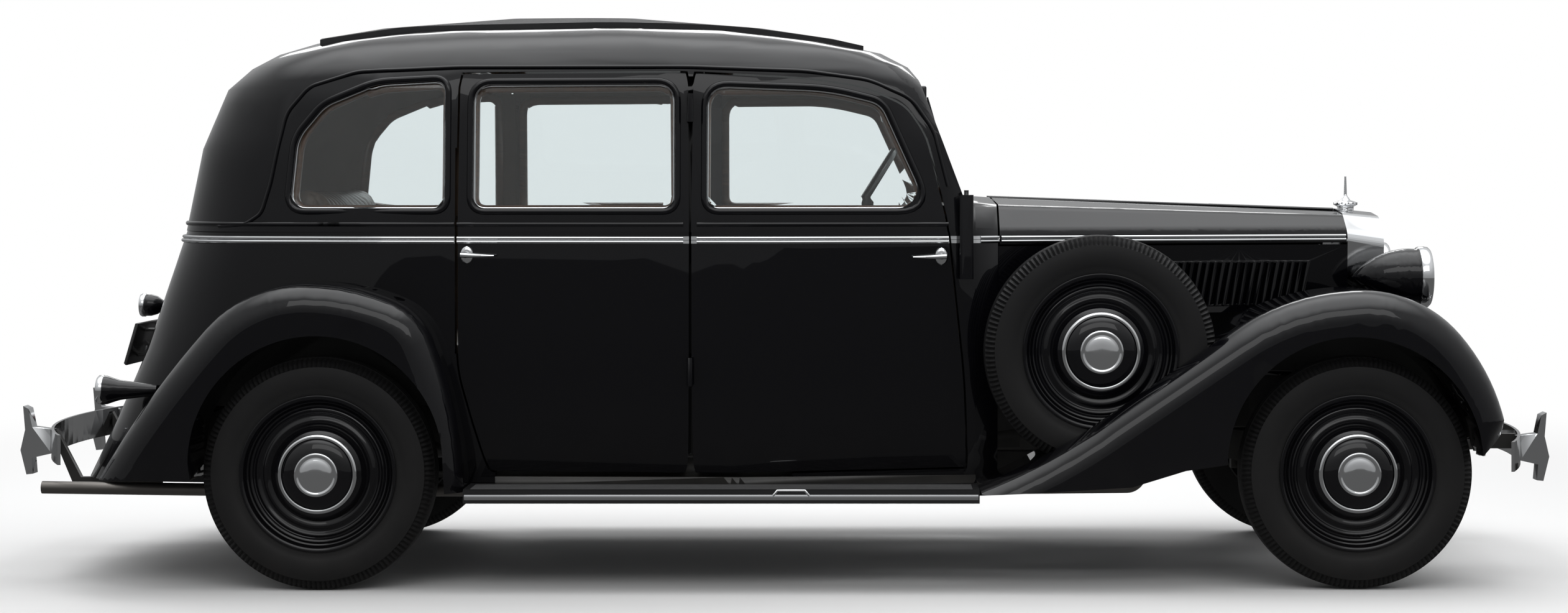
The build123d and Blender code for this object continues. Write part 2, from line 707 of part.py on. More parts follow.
def front_wing_profile():
    """Side view of the front wing, from the axle."""
    x = X_FRONT
    with BuildSketch(Plane.XZ.offset(-WING_HALF)) as side:
        with BuildLine():
            front_fall = TangentArc((x + 20, 880), (x + 300, 752), tangent=(1, 0))
            TangentArc((x + 300, 752), (x + 430, 500), tangent=front_fall % 1)
            rear_fall = TangentArc((x + 20, 880), (x - 378, 756), tangent=(-1, 0))
            sweep_end = rear_fall @ 1 + (rear_fall % 1) * 444
            Line(rear_fall @ 1, sweep_end)
            foot = TangentArc(sweep_end, (x - 1113, 308), tangent=rear_fall % 1)
            Line(foot @ 1, (x - 1113, 283))
            Line((x + 430, 500), (x + 424, 470))
            Line((x + 424, 470), (x + 352, 400))
            ThreePointArc((x + 352, 400), (x - 20, 375 + FRONT_ARCH), (x - 392, 375))
            Line((x - 392, 375), (x - 513, 358))
            Line((x - 513, 358), (x - 670, 310))
            Line((x - 670, 310), (x - 1113, 283))
        make_face()
    return side.sketch


LAMP_X = X_FRONT + 282
LAMP_Y = 335
LAMP_Z = 906
LAMP_RADIUS = 92
LAMP_POST = 15
POST_X = LAMP_X - 120
SPARE_X = X_FRONT - 752
SPARE_Z = 699
SPARE_Y = 655
WING_INNER = 430
ARCH_CENTRE = (X_FRONT - 20, 375)


def crown_edges(part, low):
    """The outer top edges of a wing, which are rounded."""
    outer = [e for e in part.edges() if min((e @ 0).Y, (e @ 1).Y) > WING_HALF - 1]
    return [e for e in outer if (e @ 0.5).Z > low]


def outside_arch(edge):
    """Whether an edge lies clear of the front arch and of the wing's lower tip."""
    point = edge @ 0.5
    from_centre = (point - Vector(ARCH_CENTRE[0], point.Y, ARCH_CENTRE[1])).length
    at_tip = point.X > X_FRONT + 300 and point.Z < 460
    return from_centre > FRONT_ARCH + 10 and not at_tip


NOSE_RADIUS = 170


def rounded_nose():
    """Everything within the front wing's plan, whose outer front corner is round."""
    nose = X_FRONT + 431
    back = BOARD_FRONT - 10
    with BuildPart() as space:
        with BuildSketch(Plane.XY):
            with BuildLine():
                FilletPolyline(
                    (back, 0), (nose, 0), (nose, WING_HALF), (back, WING_HALF),
                    radius=(1, 1, NOSE_RADIUS, 1), close=True,
                )
            make_face()
        extrude(amount=1200)
    return space.part


VALANCE_IN = 280
VALANCE_THICKNESS = 14
valance = prism(
    (
        (X_FRONT - 600, 640), (X_FRONT + 60, 620), (X_FRONT + 350, 480), (X_FRONT + 350, 466),
        (X_FRONT + 56, 606), (X_FRONT - 600, 626),
    ),
    VALANCE_IN,
    WING_INNER + 40,
)
STEER_CLEAR = 8
with BuildPart() as steered_wheel:
    with BuildSketch(Plane.XZ.offset(-TRACK_FRONT / 2 - TYRE_WIDTH / 2 - STEER_CLEAR)):
        with Locations((X_FRONT, Z_AXLE)):
            Circle(TYRE_RADIUS + STEER_CLEAR)
    extrude(amount=TYRE_WIDTH + 2 * STEER_CLEAR)
kingpin = Axis((X_FRONT, KINGPIN_Y, 0), (0, 0, 1))
with BuildPart() as front_wing:
    extrude(front_wing_profile(), amount=WING_HALF - WING_INNER, dir=(0, -1, 0))
    fillet([e for e in crown_edges(front_wing.part, 380) if outside_arch(e)], WING_EDGE)
    add(lower_outer, mode=Mode.SUBTRACT)
    add(hood_outer, mode=Mode.SUBTRACT)
    with BuildSketch(Plane.XZ.offset(-SPARE_Y + TYRE_WIDTH / 2 + SEAT_GAP)):
        with Locations((SPARE_X, SPARE_Z)):
            Circle(TYRE_RADIUS + SEAT_GAP)
    extrude(amount=-TYRE_WIDTH - 2 * SEAT_GAP, mode=Mode.SUBTRACT)
    add(valance)
    add(tube((POST_X, LAMP_Y, Z_AXLE), (POST_X, LAMP_Y, 800), LAMP_POST + SEAT_GAP), mode=Mode.SUBTRACT)
    add(rounded_nose(), mode=Mode.INTERSECT)
    for turn in range(-STEER_LOCK, STEER_LOCK + 1, 10):
        add(steered_wheel.part.rotate(kingpin, turn), mode=Mode.SUBTRACT)
save(both_sides(front_wing.part), "front_wings")


def rear_wing_profile():
    """Side view of the rear wing, from the axle."""
    x = X_REAR
    with BuildSketch(Plane.XZ.offset(-WING_HALF)) as side:
        with BuildLine():
            crown = TangentArc((x - 30, 904), (x + 230, 850), tangent=(1, 0))
            shoulder = TangentArc((x + 230, 850), (x + 336, 740), tangent=crown % 1)
            TangentArc((x + 336, 740), (x + 428, 290), tangent=shoulder % 1)
            Line((x + 428, 290), (x + 378, 290))
            Line((x + 378, 290), (x + 373, 380))
            ThreePointArc((x + 373, 380), (x + 3, 750), (x - 367, 380))
            Line((x - 367, 380), (x - 360, 330))
            Line((x - 360, 330), (x - 645, 327))
            rear_fall = TangentArc((x - 30, 904), (x - 330, 768), tangent=(-1, 0))
            TangentArc((x - 330, 768), (x - 645, 327), tangent=rear_fall % 1)
        make_face()
    return side.sketch


with BuildPart() as rear_wing:
    extrude(rear_wing_profile(), amount=WING_HALF - REAR_WING_INNER, dir=(0, -1, 0))
    arch_centre = Vector(X_REAR + 3, WING_HALF, 380)
    crown = [e for e in crown_edges(rear_wing.part, 395) if ((e @ 0.5) - arch_centre).length > 380]
    fillet(crown, REAR_WING_EDGE)
    add(lower_outer, mode=Mode.SUBTRACT)
save(both_sides(rear_wing.part), "rear_wings")

# Running boards with their edge strip
BOARD_OUTER = 800
BOARD_THICKNESS = 20
with BuildPart() as running_board:
    add(box(BOARD_REAR, BOARD_FRONT, 630, BOARD_OUTER, BOARD_TOP - BOARD_THICKNESS, BOARD_TOP))
    add(box(BOARD_REAR, BOARD_FRONT, BOARD_OUTER, BOARD_OUTER + 5, BOARD_TOP - 41, BOARD_TOP - 3))
    add(lower_outer, mode=Mode.SUBTRACT)
save(both_sides(running_board.part), "running_boards")

# Wheels: tyre, and one dished disc and rim with its drum
RIM_RADIUS = 218
BEAD_HALF = 58
STUB_RADIUS = 20
STUB_FIT = 0.05
BORE_RADIUS = STUB_RADIUS + STUB_FIT


def tyre_solid(x, y, z):
    """A tyre standing on its tread, turned about its axle line."""
    half = TYRE_WIDTH / 2
    with BuildPart() as tyre:
        with BuildSketch(Plane.XZ):
            with BuildLine():
                Line((-BEAD_HALF, RIM_RADIUS + 4), (BEAD_HALF, RIM_RADIUS + 4))
                ThreePointArc((BEAD_HALF, RIM_RADIUS + 4), (half, 282), (half - 12, TYRE_RADIUS - 14))
                ThreePointArc((half - 12, TYRE_RADIUS - 14), (half - 19, TYRE_RADIUS - 6), (half - 30, TYRE_RADIUS - 3))
                ThreePointArc((half - 30, TYRE_RADIUS - 3), (0, TYRE_RADIUS), (30 - half, TYRE_RADIUS - 3))
                ThreePointArc((30 - half, TYRE_RADIUS - 3), (19 - half, TYRE_RADIUS - 6), (12 - half, TYRE_RADIUS - 14))
                ThreePointArc((12 - half, TYRE_RADIUS - 14), (-half, 282), (-BEAD_HALF, RIM_RADIUS + 4))
            make_face()
        revolve(axis=Axis.X)
    return Location((x, y, z), (0, 0, 90)) * tyre.part


WHEEL_PROFILE = (
    (-BEAD_HALF - 6, RIM_RADIUS + 12),
    (-BEAD_HALF - 6, RIM_RADIUS + 6),
    (-BEAD_HALF - 1, RIM_RADIUS + 3.7),
    (BEAD_HALF + 1, RIM_RADIUS + 3.7),
    (BEAD_HALF + 6, RIM_RADIUS + 6),
    (BEAD_HALF + 6, RIM_RADIUS + 12),
    (BEAD_HALF + 9, RIM_RADIUS + 12),
    (BEAD_HALF + 10, RIM_RADIUS - 2),
    (BEAD_HALF - 16, RIM_RADIUS - 8),
    (BEAD_HALF - 20, RIM_RADIUS - 22),
    (BEAD_HALF - 12, RIM_RADIUS - 30),
    (BEAD_HALF - 22, RIM_RADIUS - 44),
    (BEAD_HALF - 14, RIM_RADIUS - 52),
    (BEAD_HALF - 20, 140),
    (BEAD_HALF + 8, 118),
    (BEAD_HALF + 16, 112),
    (BEAD_HALF + 34, 84),
    (BEAD_HALF + 40, 58),
    (BEAD_HALF + 43, 0),
    (BEAD_HALF + 30, 0),
)


def wheel_solid(x, y, z, bore_depth, drum=True):
    """Rim, disc and hub cap in one pressing, with a brake drum behind the disc."""
    inner = BEAD_HALF - 28
    back = BEAD_HALF - 52
    points = [*WHEEL_PROFILE[:-1]]
    if drum:
        points += [(back - bore_depth, 0), (back - bore_depth, 130), (inner - 8, 150)]
    else:
        points += [(inner - 8, 0)]
    points += [
        (inner - 8, 160),
        (inner, RIM_RADIUS - 30),
        (-BEAD_HALF + 8, RIM_RADIUS - 26),
        (-BEAD_HALF - 9, RIM_RADIUS - 2),
        (-BEAD_HALF - 9, RIM_RADIUS + 12),
    ]
    with BuildPart() as wheel:
        with BuildSketch(Plane.XZ):
            with BuildLine():
                Polyline(*points, close=True)
            make_face()
        revolve(axis=Axis.X)
        if drum:
            with BuildSketch(Plane.YZ.offset(back - bore_depth)):
                Circle(BORE_RADIUS)
            extrude(amount=bore_depth + 20, mode=Mode.SUBTRACT)
    return Location((x, y, z), (0, 0, 90)) * wheel.part


BORE_DEPTH = 10
WHEELS = (
    ("front", X_FRONT, TRACK_FRONT / 2),
    ("rear", X_REAR, TRACK_REAR / 2),
)
for place, x_wheel, y_wheel in WHEELS:
    tyre = tyre_solid(x_wheel, y_wheel, Z_AXLE)
    wheel = wheel_solid(x_wheel, y_wheel, Z_AXLE, BORE_DEPTH)
    save(tyre, f"tyre_{place}_left")
    save(tyre.mirror(Plane.XZ), f"tyre_{place}_right")
    save(wheel, f"wheel_{place}_left")
    save(wheel.mirror(Plane.XZ), f"wheel_{place}_right")
spare_tyre = tyre_solid(SPARE_X, SPARE_Y, SPARE_Z)
spare_wheel = wheel_solid(SPARE_X, SPARE_Y, SPARE_Z, BORE_DEPTH, drum=False)
save(both_sides(spare_tyre), "spare_tyres")
save(both_sides(spare_wheel), "spare_wheels")

# Chassis: two rails that rise over the axles, and cross members
with BuildPart() as rail:
    with BuildSketch(Plane.XZ.offset(-RAIL_Y - RAIL_WIDTH / 2)):
        with BuildLine():
            top = [(x, z) for x, z in RAIL_POINTS]
            low = [(x, z - RAIL_DEPTH) for x, z in reversed(RAIL_POINTS)]
            Polyline(*top, *low, close=True)
        make_face()
    extrude(amount=RAIL_WIDTH)
GEARBOX_BASE = 360
RADIATOR_BASE = 470
CROSS_MEMBERS = (
    (X_REAR - 600, 362),
    (X_REAR - 260, 520),
    (X_REAR + 700, 330),
    (GEARBOX_REAR + 100, GEARBOX_BASE - SEAT_GAP),
    (X_RADIATOR + RADIATOR_DEPTH / 2, RADIATOR_BASE - SEAT_GAP),
)
with BuildPart() as chassis_frame:
    add(both_sides(rail.part))
    for x_cross, z_cross in CROSS_MEMBERS:
        add(box(x_cross - 30, x_cross + 30, -RAIL_Y, RAIL_Y, z_cross - 40, z_cross))
save(chassis_frame.part, "chassis_frame")

# Front axle beam with kingpins, and rear axle with its differential housing
KINGPIN_RADIUS = 11
AXLE_TUBE = 34
BEAM_Z = Z_AXLE - 43
BOSS_HALF = 44
EAR_HALF = 46


DRUM_FACE_REAR = TRACK_REAR / 2 + BEAD_HALF - 52 - BORE_DEPTH
DRUM_FACE_FRONT = TRACK_FRONT / 2 + BEAD_HALF - 52 - BORE_DEPTH
SHACKLE = 24
SPRINGS = ((X_REAR, 400, Z_AXLE - 32), (X_FRONT, 320, BEAM_Z + 40))
with BuildPart() as axles:
    add(tube((X_FRONT, 50 - KINGPIN_Y, BEAM_Z), (X_FRONT, KINGPIN_Y - 50, BEAM_Z), 26))
    for side in (1, -1):
        y_yoke = side * (KINGPIN_Y - 12)
        add(box(X_FRONT - 24, X_FRONT + 24, *sorted((y_yoke - side * 20, y_yoke - side * 46)), BEAM_Z - 60, BEAM_Z + 60))
        for z_ear in (BEAM_Z - 60, BEAM_Z + EAR_HALF):
            y_ear = sorted((y_yoke - side * 20, side * (KINGPIN_Y + 16)))
            add(box(X_FRONT - 18, X_FRONT + 18, *y_ear, z_ear, z_ear + 14))
        add(tube((X_FRONT, side * KINGPIN_Y, BEAM_Z - 60), (X_FRONT, side * KINGPIN_Y, BEAM_Z + 60), KINGPIN_RADIUS))
        add(tube((X_REAR, 0, Z_AXLE), (X_REAR, side * (DRUM_FACE_REAR - 2), Z_AXLE), AXLE_TUBE))
        add(tube((X_REAR, side * 500, Z_AXLE), (X_REAR, side * (DRUM_FACE_REAR + BORE_DEPTH + 12), Z_AXLE), STUB_RADIUS))
        for x_axle, reach, z_spring in SPRINGS:
            y_spring = (side * RAIL_Y - 22, side * RAIL_Y + 22)
            add(box(x_axle - reach, x_axle + reach, *y_spring, z_spring - 20, z_spring))
            for x_end in (x_axle - reach, x_axle + reach - SHACKLE):
                z_end = min(rail_top(x_end), rail_top(x_end + SHACKLE)) - RAIL_DEPTH - SEAT_GAP
                add(box(x_end, x_end + SHACKLE, *y_spring, z_spring - 20, z_end))
    with BuildSketch(Plane.XZ.offset(-90)):
        with Locations((X_REAR, Z_AXLE)):
            Circle(DIFFERENTIAL_RADIUS)
    extrude(amount=180)
save(axles.part, "axles")
with BuildPart() as knuckle:
    add(tube((X_FRONT, KINGPIN_Y, BEAM_Z - BOSS_HALF), (X_FRONT, KINGPIN_Y, BEAM_Z + BOSS_HALF), 26))
    add(box(X_FRONT - 20, X_FRONT + 20, KINGPIN_Y + 12, KINGPIN_Y + 30, BEAM_Z - 20, BEAM_Z + BOSS_HALF))
    add(tube((X_FRONT, KINGPIN_Y + 24, Z_AXLE), (X_FRONT, DRUM_FACE_FRONT - 2, Z_AXLE), 40))
    add(tube((X_FRONT, KINGPIN_Y + 24, Z_AXLE), (X_FRONT, DRUM_FACE_FRONT + BORE_DEPTH + 12, Z_AXLE), STUB_RADIUS))
    with BuildSketch(Plane.XY.offset(BEAM_Z - 50)):
        with Locations((X_FRONT, KINGPIN_Y)):
            Circle(KINGPIN_RADIUS + STUB_FIT)
    extrude(amount=100, mode=Mode.SUBTRACT)
save(knuckle.part, "knuckle_left")
save(knuckle.part.mirror(Plane.XZ), "knuckle_right")

# Engine as one block, with its mounting arms, gearbox and propeller shaft
ENGINE_BASE = 420
ARM_X = X_FRONT - 330
ARM_HALF = RAIL_Y - RAIL_WIDTH / 2 - SEAT_GAP
with BuildPart() as engine:
    add(box(*ENGINE_X, -110, 110, ENGINE_BASE, 960))
    add(box(ARM_X - 25, ARM_X + 25, -ARM_HALF, ARM_HALF, ENGINE_BASE - 20, ENGINE_BASE + 14))
    add(box(GEARBOX_REAR, ENGINE_X[0], -90, 90, GEARBOX_BASE, 560))
    add(tube(SHAFT_START, SHAFT_END, SHAFT_RADIUS))
save(engine.part, "engine")

# Exhaust: pipe, silencer and tail
EXHAUST_Y = -440
PIPE_Z = 262
with BuildPart() as exhaust:
    with BuildLine():
        pipe_path = FilletPolyline(
            (ENGINE_X[1] - 500, -128, 500), (ENGINE_X[1] - 520, -230, 250), (X_REAR + 1300, EXHAUST_Y, PIPE_Z),
            (X_REAR + 500, EXHAUST_Y, PIPE_Z), (X_REAR - 300, EXHAUST_Y - 30, PIPE_Z + 4),
            (X_REAR - 888, EXHAUST_Y - 30, 274), radius=50,
        )
    with BuildSketch(Plane(origin=pipe_path @ 0, z_dir=pipe_path % 0)):
        Circle(19)
    sweep()
    add(tube((X_REAR + 560, EXHAUST_Y, PIPE_Z), (X_REAR + 1150, EXHAUST_Y, PIPE_Z), 40))
save(exhaust.part, "exhaust")
TANK_X = (X_REAR - 560, X_REAR - 300)
with BuildPart() as fuel_tank:
    add(box(*TANK_X, -ARM_HALF, ARM_HALF, 330, 470))
    fillet(fuel_tank.part.edges().filter_by(Axis.Y), 30)
save(fuel_tank.part, "fuel_tank")

# Bumpers: curved bars on irons, with two over-riders each
BUMPER_HALF = 700
OVERRIDER_Y = 395
OVERRIDER_WIDTH = 52
OVERRIDER_OUTLINE = (
    (8, 108), (24, 100), (36, 44), (96, 36), (96, -36), (34, -50), (38, -98), (18, -100), (0, -26), (14, 36),
)
BAR_HEIGHT = 88
BAR_THICKNESS = 9


def bumper(x_face, side, z_mid, wrap):
    """One bumper; side is +1 at the front and -1 at the back."""
    reach = x_face - side * 42
    with BuildPart() as bar:
        with BuildSketch(Plane.XY.offset(z_mid - BAR_HEIGHT / 2)):
            with BuildLine():
                line = ThreePointArc((reach - side * wrap, -BUMPER_HALF), (reach, 0), (reach - side * wrap, BUMPER_HALF))
                inner = ThreePointArc(
                    (reach - side * (wrap + BAR_THICKNESS), BUMPER_HALF),
                    (reach - side * BAR_THICKNESS, 0),
                    (reach - side * (wrap + BAR_THICKNESS), -BUMPER_HALF),
                )
                Line(line @ 1, inner @ 0)
                Line(inner @ 1, line @ 0)
            make_face()
        extrude(amount=BAR_HEIGHT)
        for y_mid in (-OVERRIDER_Y, OVERRIDER_Y):
            with BuildSketch(Plane.XZ.offset(-y_mid - OVERRIDER_WIDTH / 2)):
                with BuildLine():
                    Polyline(
                        *[(x_face - side * back, z_mid + up) for back, up in OVERRIDER_OUTLINE], close=True
                    )
                make_face()
            extrude(amount=OVERRIDER_WIDTH)
    return bar.part


X_NOSE = X_FRONT + FRONT_OVERHANG
X_TAIL = X_REAR - REAR_OVERHANG
with BuildPart() as bumpers:
    add(bumper(X_NOSE, 1, 388, 130))
    add(bumper(X_TAIL, -1, 408, 150))
save(bumpers.part, "bumpers")
IRON_Y = (RAIL_Y - 13, RAIL_Y + 13)
with BuildPart() as rear_iron:
    with BuildSketch(Plane.XZ.offset(-IRON_Y[1])):
        with BuildLine():
            Polyline(
                (X_REAR - 560, 262), (X_REAR - 560, 292), (X_REAR - 806, 292), (X_TAIL + 86.1, 440),
                (X_TAIL + 86.1, 398), (X_REAR - 826, 262), close=True,
            )
        make_face()
    extrude(amount=IRON_Y[1] - IRON_Y[0])
with BuildPart() as bumper_irons:
    add(both_sides(box(X_FRONT + 470, X_NOSE - 81.7, *IRON_Y, 380, 425)))
    add(both_sides(rear_iron.part))
save(bumper_irons.part, "bumper_irons")

# Lamps: teardrop headlamps on pillars, and tail lamps
LENS_GAP = 0.3
with BuildPart() as headlamp:
    with BuildSketch(Plane.XZ.offset(-LAMP_Y)):
        with BuildLine():
            Line((LAMP_X - 230, LAMP_Z), (LAMP_X - 8, LAMP_Z))
            Line((LAMP_X - 8, LAMP_Z), (LAMP_X - 8, LAMP_Z + LAMP_RADIUS - 10))
            Line((LAMP_X - 8, LAMP_Z + LAMP_RADIUS - 10), (LAMP_X, LAMP_Z + LAMP_RADIUS - 10))
            Line((LAMP_X, LAMP_Z + LAMP_RADIUS - 10), (LAMP_X - 6, LAMP_Z + LAMP_RADIUS))
            Line((LAMP_X - 6, LAMP_Z + LAMP_RADIUS), (LAMP_X - 30, LAMP_Z + LAMP_RADIUS))
            Line((LAMP_X - 30, LAMP_Z + LAMP_RADIUS), (LAMP_X - 34, LAMP_Z + LAMP_RADIUS - 5))
            ThreePointArc(
                (LAMP_X - 34, LAMP_Z + LAMP_RADIUS - 5), (LAMP_X - 150, LAMP_Z + 66), (LAMP_X - 230, LAMP_Z)
            )
        make_face()
    revolve(axis=Axis((LAMP_X, LAMP_Y, LAMP_Z), (1, 0, 0)))
    add(tube((POST_X, LAMP_Y, rail_top(POST_X) + 1), (POST_X, LAMP_Y, LAMP_Z - 40), LAMP_POST))
TAIL_LAMP = (X_REAR - 600, 545, 574)
with BuildPart() as tail_lamp:
    with BuildSketch(Plane.XZ.offset(-TAIL_LAMP[1])):
        with BuildLine():
            x_lens = TAIL_LAMP[0] - 92
            Polyline(
                (x_lens + 4, TAIL_LAMP[2]), (x_lens + 4, TAIL_LAMP[2] + 36), (x_lens, TAIL_LAMP[2] + 36),
                (x_lens, TAIL_LAMP[2] + 43), (x_lens + 20, TAIL_LAMP[2] + 43), (x_lens + 60, TAIL_LAMP[2] + 30),
                (x_lens + 170, TAIL_LAMP[2] + 16), (x_lens + 170, TAIL_LAMP[2]), close=True,
            )
        make_face()
    revolve(axis=Axis(TAIL_LAMP, (1, 0, 0)))
with BuildPart() as lamps:
    add(both_sides(headlamp.part))
    add(both_sides(tail_lamp.part - lower_outer))
save(lamps.part, "lamps")
with BuildPart() as lens:
    with BuildSketch(Plane.XZ.offset(-LAMP_Y)):
        with BuildLine():
            Line((LAMP_X - 8, LAMP_Z), (LAMP_X + 14, LAMP_Z))
            ThreePointArc((LAMP_X + 14, LAMP_Z), (LAMP_X + 11, LAMP_Z + 45), (LAMP_X, LAMP_Z + LAMP_RADIUS - 10 - LENS_GAP))
            Line((LAMP_X, LAMP_Z + LAMP_RADIUS - 10 - LENS_GAP), (LAMP_X - 8, LAMP_Z + LAMP_RADIUS - 10 - LENS_GAP))
            Line((LAMP_X - 8, LAMP_Z + LAMP_RADIUS - 10 - LENS_GAP), (LAMP_X - 8, LAMP_Z))
        make_face()
    revolve(axis=Axis((LAMP_X, LAMP_Y, LAMP_Z), (1, 0, 0)))
with BuildPart() as tail_lens:
    with BuildSketch(Plane.YZ.offset(TAIL_LAMP[0] - 94)):
        with Locations((TAIL_LAMP[1], TAIL_LAMP[2])):
            Circle(36 - LENS_GAP)
    extrude(amount=6)
with BuildPart() as lamp_glass:
    add(both_sides(lens.part))
    add(both_sides(tail_lens.part))
save(lamp_glass.part, "lamp_glass")

# Turn signal boxes on the cowl
SIGNAL_X = X_REAR + 1905
with BuildPart() as turn_signal:
    add(box(SIGNAL_X - 21, SIGNAL_X + 21, 580, 652, 910, 1160))
    fillet(turn_signal.part.edges().filter_by(Axis.Z), 8)
    add(tube((SIGNAL_X, 636, 1160), (SIGNAL_X, 636, 1174), 7))
    add(lower_proud, mode=Mode.SUBTRACT)
    add(upper_outer, mode=Mode.SUBTRACT)
    add(hood_outer, mode=Mode.SUBTRACT)
save(both_sides(turn_signal.part), "turn_signals")

# Dashboard, with the steering column through it, and the steering wheel
WHEEL_CENTRE = (X_REAR + 1594, 325, 1126)
WHEEL_LEAN = 58
STEER_RADIUS = 205
HUB_DEPTH = 24
steer_axis = Vector(cos(radians(90 - WHEEL_LEAN)), 0, -sin(radians(90 - WHEEL_LEAN)))
steer_plane = Plane(origin=WHEEL_CENTRE, z_dir=-steer_axis)
with BuildPart() as dashboard:
    add(box(X_REAR + 1745, X_REAR + 1775, -520, 520, 960, 1110))
    column_start = Vector(*WHEEL_CENTRE) + steer_axis * (HUB_DEPTH + SEAT_GAP)
    column_end = Vector(*WHEEL_CENTRE) + steer_axis * 325
    add(tube(tuple(column_start), tuple(column_end), 20))
save(dashboard.part, "dashboard")
with BuildPart() as steering_wheel:
    with BuildSketch(Plane.XZ):
        with Locations((STEER_RADIUS, 0)):
            Circle(13)
    revolve(axis=Axis.Z)
    with BuildSketch(Plane.XY.offset(-HUB_DEPTH)):
        Circle(34)
    extrude(amount=34)
    with BuildSketch(Plane.XY.offset(-6)):
        for turn in (0, 120, 240):
            with Locations(Rot(0, 0, turn + 90) * Pos(STEER_RADIUS / 2, 0)):
                Rectangle(STEER_RADIUS, 16)
    extrude(amount=9)
wheel_placed = steer_plane.location * steering_wheel.part
save(wheel_placed, "steering_wheel")

# Seats: bench cushions with raked backs, the front one on a plinth each side of the tunnel
SEATS = (
    ("front_seat", X_REAR + 1010, 530, 1149, 690, 150, TUNNEL_TOP + SEAT_GAP),
    ("rear_seat", X_REAR - 100, 490, 1206, 700, 190, KICK_TOP + SEAT_GAP),
)
PLINTH_X = (X_REAR + 1110, X_REAR + 1560)
for name, x_back, half, z_back, z_cushion, depth, z_base in SEATS:
    with BuildPart() as seat:
        with BuildSketch(Plane.XZ.offset(-half)):
            with BuildLine():
                FilletPolyline(
                    (x_back - 60, z_back), (x_back + depth * 0.5 - 60, z_back), (x_back + depth, z_cushion),
                    (x_back + depth + 440, z_cushion + 10), (x_back + depth + 440, z_base),
                    (x_back + depth - 60, z_base),
                    radius=24, close=True,
                )
            make_face()
        extrude(amount=2 * half)
        if name == "front_seat":
            for side in (1, -1):
                y_plinth = sorted((side * (GEARBOX_HALF + 20), side * (half - 30)))
                add(box(*PLINTH_X, *y_plinth, FLOOR_TOP + SEAT_GAP, z_base))
    save(seat.part, name)
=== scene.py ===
"""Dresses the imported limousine: painted panels, chrome, wheels, trim, seats and the studio around it."""

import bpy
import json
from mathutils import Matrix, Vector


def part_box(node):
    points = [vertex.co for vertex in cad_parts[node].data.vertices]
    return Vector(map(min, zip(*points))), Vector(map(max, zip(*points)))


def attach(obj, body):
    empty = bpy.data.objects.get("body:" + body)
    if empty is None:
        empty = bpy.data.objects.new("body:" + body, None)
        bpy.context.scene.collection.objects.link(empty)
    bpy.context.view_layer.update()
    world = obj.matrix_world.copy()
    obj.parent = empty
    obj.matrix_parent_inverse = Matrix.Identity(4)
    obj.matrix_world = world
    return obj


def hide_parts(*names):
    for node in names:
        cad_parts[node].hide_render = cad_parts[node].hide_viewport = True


bl_info = {
    "name": "Limousine dressing",
    "version": (1, 0, 0),
    "blender": (4, 5, 0),
    "location": "3D Viewport > Sidebar > Limousine",
    "description": "Models the trim, wheels, seats and finishes of a long 1930s saloon around its CAD frame",
    "category": "Object",
}

import json
import math
import random

import bmesh
import bpy
from mathutils import Matrix, Vector
from mathutils.bvhtree import BVHTree
from mathutils.kdtree import KDTree

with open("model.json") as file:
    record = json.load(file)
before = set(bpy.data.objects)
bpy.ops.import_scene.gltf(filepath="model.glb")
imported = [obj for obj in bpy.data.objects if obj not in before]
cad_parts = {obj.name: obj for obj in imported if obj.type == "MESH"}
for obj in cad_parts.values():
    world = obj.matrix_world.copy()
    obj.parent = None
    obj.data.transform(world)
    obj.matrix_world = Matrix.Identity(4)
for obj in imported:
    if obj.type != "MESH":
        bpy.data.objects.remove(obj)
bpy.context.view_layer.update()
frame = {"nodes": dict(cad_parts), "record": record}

# Stations and boxes read from the frame, in metres
WHEEL_BOX = {name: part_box(f"tyre_{name}") for name in ("front_left", "front_right", "rear_left", "rear_right")}
HUBS = {name: (low + high) / 2 for name, (low, high) in WHEEL_BOX.items()}
X_REAR = HUBS["rear_left"].x
X_FRONT = HUBS["front_left"].x
X_MIDDLE = (X_REAR + X_FRONT) / 2
X_B_POST = (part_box("b_pillars")[0].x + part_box("b_pillars")[1].x) / 2
SIDES = (("left", 1), ("right", -1))
PAINTED = (
    "rear_body", "roof_shell", "scuttle", "door_front_left", "door_front_right", "door_rear_left",
    "door_rear_right",
)


def color_setting(name, description, default):
    return bpy.props.FloatVectorProperty(
        name=name, description=description, default=default, subtype="COLOR", min=0, max=1,
    )


def length_setting(name, description, default):
    return bpy.props.FloatProperty(
        name=name, description=description, default=default, unit="LENGTH", min=0.001,
    )


class PaintSettings(bpy.types.PropertyGroup):
    """Colours of the finishes."""

    body: color_setting("Body paint", "Colour of the polished paint", (0.002, 0.002, 0.003))
    chassis: color_setting("Chassis paint", "Colour of the frame and axles", (0.012, 0.012, 0.012))
    chrome: color_setting("Chrome", "Colour of the plated trim", (0.74, 0.75, 0.76))
    rubber: color_setting("Rubber", "Colour of tyres and seals", (0.006, 0.006, 0.0065))
    leather: color_setting("Leather", "Colour of the seats", (0.12, 0.08, 0.055))
    trim_cloth: color_setting("Trim cloth", "Colour of the cabin's lining", (0.10, 0.07, 0.05))
    wood: color_setting("Wood", "Colour of the window rails and dashboard", (0.11, 0.045, 0.018))


class TrimSettings(bpy.types.PropertyGroup):
    """Sizes of the trim."""

    bead: length_setting("Window bead", "Width of the raised bead round a window", 0.019)
    ridge_z: length_setting("Ridge height", "Height of the ridge moulding above ground", 1.073)
    ridge: length_setting("Ridge", "Half width of the ridge moulding", 0.007)
    tyre_segments: bpy.props.IntProperty(
        name="Tyre segments", description="Steps round each tyre", default=288, min=48, max=288,
    )


def deselect():
    bpy.ops.object.select_all(action="DESELECT")


def only(obj):
    """Makes obj the one selected and active object."""
    deselect()
    obj.select_set(True)
    bpy.context.view_layer.objects.active = obj
    return obj


